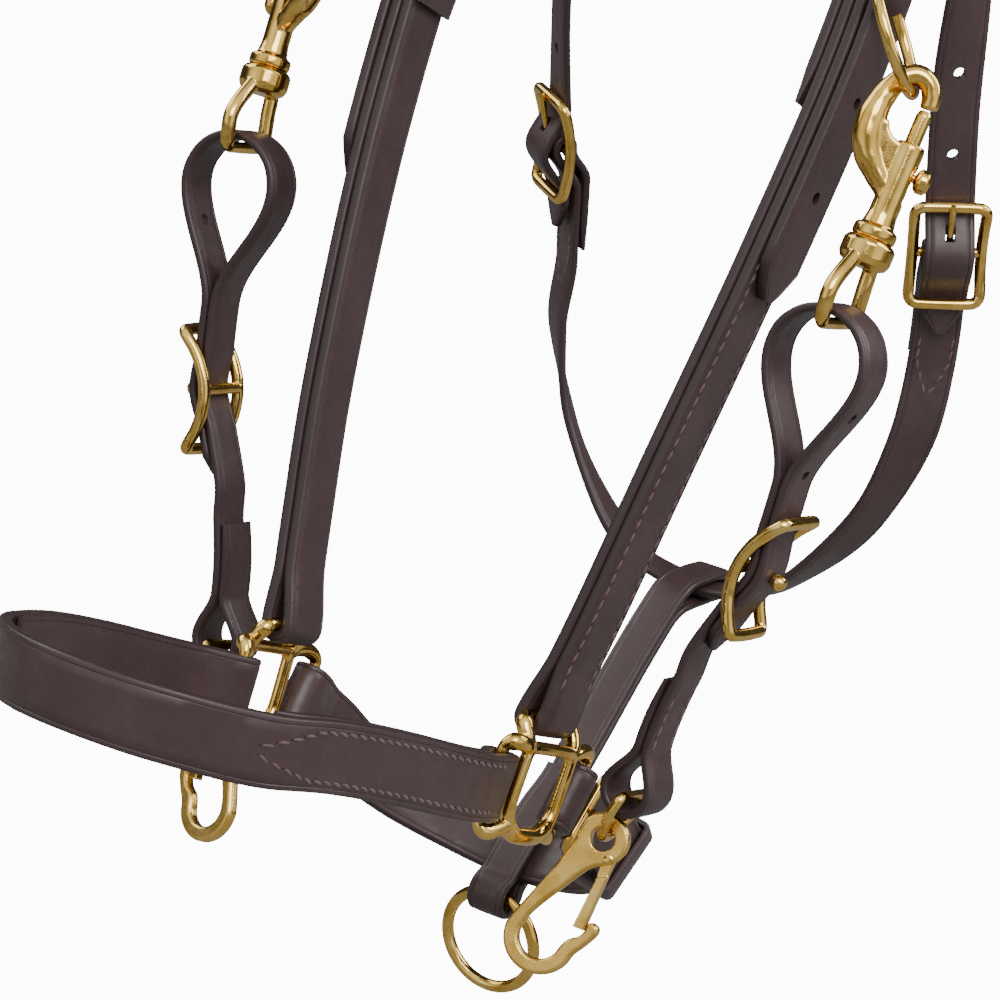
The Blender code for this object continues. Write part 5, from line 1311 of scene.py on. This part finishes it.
def bolt_plunger(name):
    """The sliding bolt with the thumb knob that stands out through the barrel's slot."""
    bolt = turned(f"{name}_snap_bolt", SNAP, SNAP.origin, SNAP.up,
                  [(PLUNGER_FOOT, PLUNGER), (50.6, PLUNGER), (52.4, 1.9)])
    knob = turned(f"{name}_snap_bolt_knob", SNAP, SNAP.at(0.0, KNOB_UP), SNAP.right,
                  [(0.0, 1.4), (5.4, 1.4), (6.0, 3.4), (7.2, 4.4), (9.6, 4.3), (10.8, 3.0)])
    fuse(bolt, knob)


def bolt_spring(name):
    first = SPRING_FOOT + SPRING_WIRE + 0.15
    last = PLUNGER_FOOT - 0.7
    steps = SPRING_TURNS * 8
    path = []
    for k in range(steps + 1):
        angle = math.radians(45.0 * k)
        path.append(SNAP.at(SPRING_RADIUS * math.cos(angle), first + (last - first) * k / steps,
                            SPRING_RADIUS * math.sin(angle)))
    tube(f"{name}_snap_bolt_spring", path, SPRING_WIRE, sides=4)


CONWAY_REACH = 22.4      # from the centre bar to either end bar
CONWAY_BAR = 1.9
CONWAY_END_H = BIT_PLY + THIN_LEATHER / 2 + GAP + CONWAY_BAR
CONWAY_LOW_H = CONWAY_BUMP - BIT_PLY - THIN_LEATHER / 2 - GAP - CONWAY_BAR
STUD = 1.4


def swivel_eye(name):
    """A riveted collar that turns on the snap's end, with the eye that the bit strap hangs in."""
    eye = turned(f"{name}_swivel_eye", SNAP, SNAP.origin, SNAP.up,
                 [(-5.4, 5.5), (-4.2, 8.2), (-2.2, 9.2), (2.6, 9.2), (4.0, 8.2), (4.5, 6.4)], sides=12)
    shank = turned(f"{name}_swivel_eye_shank", SNAP, SNAP.origin, SNAP.up,
                   [(0.0, SHANK), (BORE_FLOOR + 0.4, SHANK), (BORE_FLOOR + 0.5, 2.8),
                    (BORE_FLOOR + 2.0, 2.6)])
    fuse(eye, shank)
    across = BIT.place(0.0)[3]
    rise = -BIT.place(0.0)[1]
    arms = []
    for half in (1.0, -1.0):
        collar = square_to(across, SNAP.up) * half
        bar = across * half
        arm = [SNAP.origin + collar * 5.0 - SNAP.up * 1.0, SNAP.origin + collar * 7.8 - SNAP.up * 4.0,
               BIT_TOP + bar * EYE_HALF + rise * 13.0, BIT_TOP + bar * EYE_HALF + rise * 2.4,
               BIT_TOP + bar * (EYE_HALF - 0.7) + rise * 0.7, BIT_TOP + bar * (EYE_HALF - 2.4)]
        arms.append(arm)
    thick = [EYE_ARM] * 4 + [EYE_BAR] * 2
    loop = tube(f"{name}_swivel_eye_loop", arms[0] + arms[1][::-1], thick + thick[::-1])
    fuse(eye, loop)


def conway_buckle(name):
    """A bowed frame with two end bars outside the strap and a centre bar with a stud inside."""
    bench = on_course(BIT, CONWAY_S, 0.0)
    half = BIT_WIDTH / 2 + 0.5 + CONWAY_BAR
    rise = CONWAY_END_H - CONWAY_LOW_H

    def height(y):
        return CONWAY_LOW_H + rise * (y / CONWAY_REACH) ** 2

    rail = [(half, CONWAY_REACH * t) for t in (-0.94, -0.7, -0.45, -0.2, 0.0, 0.2, 0.45, 0.7, 0.94)]
    end = [(half - 1.6, CONWAY_REACH), (-half + 1.6, CONWAY_REACH)]
    outline = rail + end + [(-x, -y) for x, y in rail] + [(-x, -y) for x, y in end]
    frame = tube(f"{name}_conway_buckle", [bench.at(x, y, height(y)) for x, y in outline],
                 CONWAY_BAR, closed=True)
    bar = tube(f"{name}_conway_buckle_bar", [bench.at(x, 0.0, CONWAY_LOW_H)
                                             for x in (-half * 0.95, half * 0.95)],
               CONWAY_BAR - 0.1)
    fuse(frame, bar)
    neck = BIT_PLY + CONWAY_BUMP + THIN_LEATHER / 2 + 0.3
    stud = turned(f"{name}_conway_buckle_stud", bench, bench.origin, bench.out,
                  [(CONWAY_LOW_H, STUD), (neck, STUD), (neck + 0.7, 2.2), (neck + 2.4, 2.6),
                   (neck + 4.1, 2.2), (neck + 4.9, 1.0)])
    fuse(frame, stud)


LINK_TOP = BIT.place(BIT_END)[0] + BIT.place(BIT_END)[2] * LINK_H
LINK = Bench(LINK_TOP, vec(0.975, 0.10, -0.17), vec(0.443, -0.316, 0.840))
LINK_HALF = BIT_WIDTH / 2 + 3.3
LINK_STRAIGHT = 8.0      # the legs run straight this far, past the strap's loop
LINK_END = 8.0           # radius of the round end
LINK_LENGTH = 19.0
HOLE_UNDER_LINK = 0.9
CLIP_HOLE = 4.6
CLIP_THICK = 4.2
CLIP_RIGHT = vec(0.2244, -0.966, -0.122)
CLIP_UP = vec(0.320, -0.045, 0.946)
CLIP = Bench(LINK.at(0.0, -LINK_LENGTH) - CLIP_UP * HOLE_UNDER_LINK, CLIP_RIGHT, CLIP_UP)
PIVOT = (4.6, -6.2)
PIVOT_PIN = 1.1
PIN_ROOM = 0.25          # air round the pin
CLIP_CUT = 6.0           # how far a hole's cutter reaches past the clip's middle
GATE_SLOT = 1.3          # half the width of the slot in the clip's head
GATE_TONGUE = 1.05       # half the thickness of the gate's tongue


def bit_link(name):
    """A triangular link: a straight bar in the strap's loop, a round end in the clip's hole."""
    corner = arc((LINK_HALF - 2.6, -2.6), 2.6, 90, 0, 3) + [(LINK_HALF, -LINK_STRAIGHT, 0.0)]
    line = corner + arc((0.0, -LINK_LENGTH + LINK_END), LINK_END, -20, -160, 6)
    line += [(-x, y, z) for x, y, z in reversed(corner)]
    tube(f"{name}_bit_link", LINK.path(line), LINK_WIRE, closed=True)


def clip_cutter(name, centre, radius, sides):
    """A round cutter square to the clip, about a local (right, up) point."""
    return turned(name, CLIP, CLIP.at(*centre), CLIP.out,
                  [(-CLIP_CUT, radius), (CLIP_CUT, radius)], sides)


def clip_body(name):
    """A cast hook: a head with the link's hole, and an arm that curls round to a tip."""
    curl = (-8.5, -41.0)
    outline = [*arc((0.0, 0.0), 9.5, -58, 198, 16), (-13.5, -17.0), (-18.5, -30.5), (-21.9, -40.0),
               *arc(curl, 13.5, 184, 352, 12), (8.2, -37.5), (10.6, -32.6), (10.2, -30.2),
               (7.6, -29.4), (6.0, -30.4), (6.0, -32.6), (4.6, -35.6), (1.2, -38.2),
               *arc(curl, 8.0, -6, -186, 8), (-14.6, -34.0), (-7.8, -22.4), (-1.2, -12.4)]
    body = plate(f"{name}_clip", CLIP, outline, CLIP_THICK)
    slot = plate(f"{name}_clip_slot", CLIP, [(-2.0, -14.0), (14.0, -14.0), (14.0, -2.6),
                                             (4.9, -2.6), (0.8, -5.8), (-2.0, -9.0)],
                 2 * GATE_SLOT)
    for tool in (clip_cutter(f"{name}_clip_link_hole", (0.0, 0.0), CLIP_HOLE, 14), slot,
                 clip_cutter(f"{name}_clip_pin_hole", PIVOT, PIVOT_PIN + PIN_ROOM, 10)):
        cut(body, tool)


def clip_gate(name):
    """The gate: a bar with a tongue that turns on the pin in the head's slot."""
    gate = plate(f"{name}_clip_gate", CLIP, [(3.0, -14.0), (6.6, -12.0), (5.5, -33.0),
                                             (1.2, -33.0)], 3.6)
    outline = [(2.9, -14.2), *arc(PIVOT, 2.5, 180, 0, 8), (6.4, -14.2)]
    fuse(gate, plate(f"{name}_clip_gate_tongue", CLIP, outline, 2 * GATE_TONGUE))
    cut(gate, clip_cutter(f"{name}_clip_gate_hole", PIVOT, PIVOT_PIN + PIN_ROOM, 10))


def clip_pin(name):
    """A rivet with a low head at each end."""
    pin = CLIP_THICK / 2 + 0.2
    end = [(pin - 0.01, PIVOT_PIN), (pin, 1.7), (pin + 0.5, 1.7), (pin + 0.7, 1.2)]
    turned(f"{name}_clip_pin", CLIP, CLIP.at(*PIVOT), CLIP.out,
           [(-h, r) for h, r in reversed(end)] + end)


def stands(node, voxel=None, passes=4, swell=0.3, material=None):
    """Puts a drawn piece in its CAD node's place.

    voxel remeshes it into one soft casting; swell, in millimetres, makes up for the smoothing.
    """
    piece = PIECES[node]
    if material:
        piece.data.materials[0] = material
    if voxel:
        remesh = piece.modifiers.new("remesh", "REMESH")
        remesh.mode = "VOXEL"
        remesh.voxel_size = voxel * MM
        smoothing = piece.modifiers.new("smooth", "SMOOTH")
        smoothing.factor = 0.5
        smoothing.iterations = passes
        filling = piece.modifiers.new("fill", "DISPLACE")
        filling.strength = swell * MM
        filling.mid_level = 0.0
    piece["body"] = frame["nodes"][node]["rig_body"]
    piece["node"] = node
    settle(piece)
    if voxel:
        piece.data.shade_smooth()


def keeper(node):
    """The CAD's keeper with rounded edges."""
    source = frame["nodes"][node]
    PIECES[node] = put(f"{node}_finish", source.data.copy())
    weld = PIECES[node].modifiers.new("weld", "WELD")
    weld.merge_threshold = 0.00001
    rounding = PIECES[node].modifiers.new("bevel", "BEVEL")
    rounding.width = 0.5 * MM
    rounding.segments = 3
    rounding.limit_method = "ANGLE"
    rounding.angle_limit = math.radians(50.0)
    PIECES[node].data.materials.clear()
    PIECES[node].data.materials.append(HAVANA)
    stands(node)


# For each casting: the voxel's size, the smoothing passes and the swell
CASTINGS = {"halter_square": (0.40, 5, 0.42), "throat_buckle": (0.36, 4, 0.38),
            "conway_buckle": (0.36, 4, 0.45), "swivel_eye": (0.34, 5, 0.24),
            "bolt_snap": (0.36, 16, 0.3), "snap_bolt": (0.30, 3, 0.1), "clip_gate": (0.28, 3, 0.1)}
WIRES = ("crown_buckle", "crown_tongue", "throat_tongue", "cheek_ring", "bit_link", "clip_pin")


def hardware(name):
    """One side's brass, the snap's spring and the crown keeper."""
    heel_buckle(name, "crown")
    tongue(name, "crown")
    tongue(name, "throat")
    for draw in (halter_square, throat_buckle, cheek_ring, bolt_snap, bolt_plunger, bolt_spring,
                 swivel_eye, conway_buckle, bit_link, clip_body, clip_gate, clip_pin):
        draw(name)
    for which, (voxel, passes, swell) in CASTINGS.items():
        stands(f"{name}_{which}", voxel=voxel, passes=passes, swell=swell)
    stands(f"{name}_clip", voxel=0.32, swell=0.15, passes=3, material=CAST)
    for which in WIRES:
        stands(f"{name}_{which}")
    stands(f"{name}_snap_bolt_spring", material=STEEL)
    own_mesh(PIECES[f"{name}_snap_bolt_spring"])
    keeper(f"{name}_crown_keeper")


# Assembly ----------------------------------------------------
noseband()
crownpiece()
throat_strap()
chin_billet()
chin_strap()
jowl_strap()
for SIDE, NAME in SIDES:
    cheekpiece(SIDE, NAME)
    ring_tab(SIDE, NAME)
    bit_strap(SIDE, NAME)
    hardware(NAME)
heel_buckle("near", "chin")
tongue("near", "chin")
chin_ring()
for PART in ("near_chin_buckle", "near_chin_tongue", "chin_ring"):
    stands(PART)
keeper("near_chin_keeper")


# Stage -------------------------------------------------------
BACKGROUND_GLOW = 12.0   # bright enough to come out as plain white
FLOOR_DROP = 0.05        # metres below the headcollar


def floor():
    """A wide pale floor some way below the headcollar."""
    bm = bmesh.new()
    bmesh.ops.create_grid(bm, x_segments=1, y_segments=1, size=9.0)
    made = put("floor", mesh_from(bm, "floor"))
    made.location = (0.0, 0.0, CAD_BOX[0][2] - FLOOR_DROP)
    s = shader("pale_floor")
    seen = s.node("LightPath", "Is Camera Ray")
    tone = s.ramp(s.noise(3.0), [(0.3, (0.22, 0.22, 0.22)), (0.7, (0.27, 0.27, 0.27))])
    made.data.materials.append(
        s.finish(Base_Color=tone, Roughness=0.7, Emission_Color=(1.0, 1.0, 1.0),
                 Emission_Strength=s.spread(seen, 0.0, BACKGROUND_GLOW, 0.0, 1.0)))


def sky():
    """Plain white to the camera; for light and reflections a soft wall round the camera.

    Away from the camera it is nearly black, which gives round brass its dark edges, and right
    behind the camera it is dimmer, which splits the highlights.
    """
    world = bpy.data.worlds.new("studio")
    bpy.context.scene.world = world
    s = Shader(world, "Background", "Generated")
    facing = s.node("VectorMath", "Value", {0: s.place, 1: view_axes()[2]},
                    operation="DOT_PRODUCT")
    stops = [(0.0, 0.06), (0.42, 0.03), (0.52, 0.12), (0.64, 0.55), (0.78, 1.0), (0.93, 0.8),
             (1.0, 0.2)]
    wall = s.ramp(s.spread(facing, 0.0, 1.0, -1.0, 1.0), [(at, (v, v, v)) for at, v in stops])
    seen = s.node("LightPath", "Is Camera Ray")
    s.finish(Color=s.mix(seen, wall, (BACKGROUND_GLOW,) * 3), Strength=1.3)


def softbox(name, place, size, power, aim):
    light = bpy.data.lights.new(name, "AREA")
    light.shape = "RECTANGLE"
    light.size, light.size_y = size
    light.energy = power
    made = put(name, light)
    made.location = place
    made.rotation_euler = (Vector(aim) - Vector(place)).to_track_quat("-Z", "Y").to_euler()


# The view: from the near side and ahead of the cheek, a little above, leaning over.
VIEW_TURN = math.radians(-60.0)
VIEW_RISE = math.radians(15.0)
VIEW_ROLL = math.radians(10.0)
VIEW_DISTANCE = 1.5
LENS = 151.2             # millimetres, on a sensor 36 wide
VIEW_AIM = Vector((-0.1380, -0.0220, -0.3357))


def view_axes():
    """The camera's right, up and backward directions."""
    back = Vector((math.sin(VIEW_TURN) * math.cos(VIEW_RISE),
                   -math.cos(VIEW_TURN) * math.cos(VIEW_RISE), math.sin(VIEW_RISE)))
    level = Vector((math.cos(VIEW_TURN), math.sin(VIEW_TURN), 0.0))
    upright = back.cross(level)
    return (level * math.cos(VIEW_ROLL) + upright * math.sin(VIEW_ROLL),
            upright * math.cos(VIEW_ROLL) - level * math.sin(VIEW_ROLL), back)


def camera():
    right, up, back = view_axes()
    data = bpy.data.cameras.new("camera")
    data.lens = LENS
    data.sensor_width = 36.0
    made = put("camera", data)
    turn = Matrix((right, up, back)).transposed().to_4x4()
    made.matrix_world = Matrix.Translation(VIEW_AIM + back * VIEW_DISTANCE) @ turn
    bpy.context.scene.camera = made


floor()
sky()
softbox("key_light", (-1.5, -1.3, 1.3), (1.6, 1.2), 42.0, (-0.1, -0.05, -0.3))
softbox("rear_light", (0.9, -1.2, 0.9), (0.8, 1.4), 22.0, (0.0, -0.05, -0.3))
softbox("off_light", (-0.2, 1.6, 0.9), (1.6, 1.2), 18.0, (0.0, 0.0, -0.3))
camera()
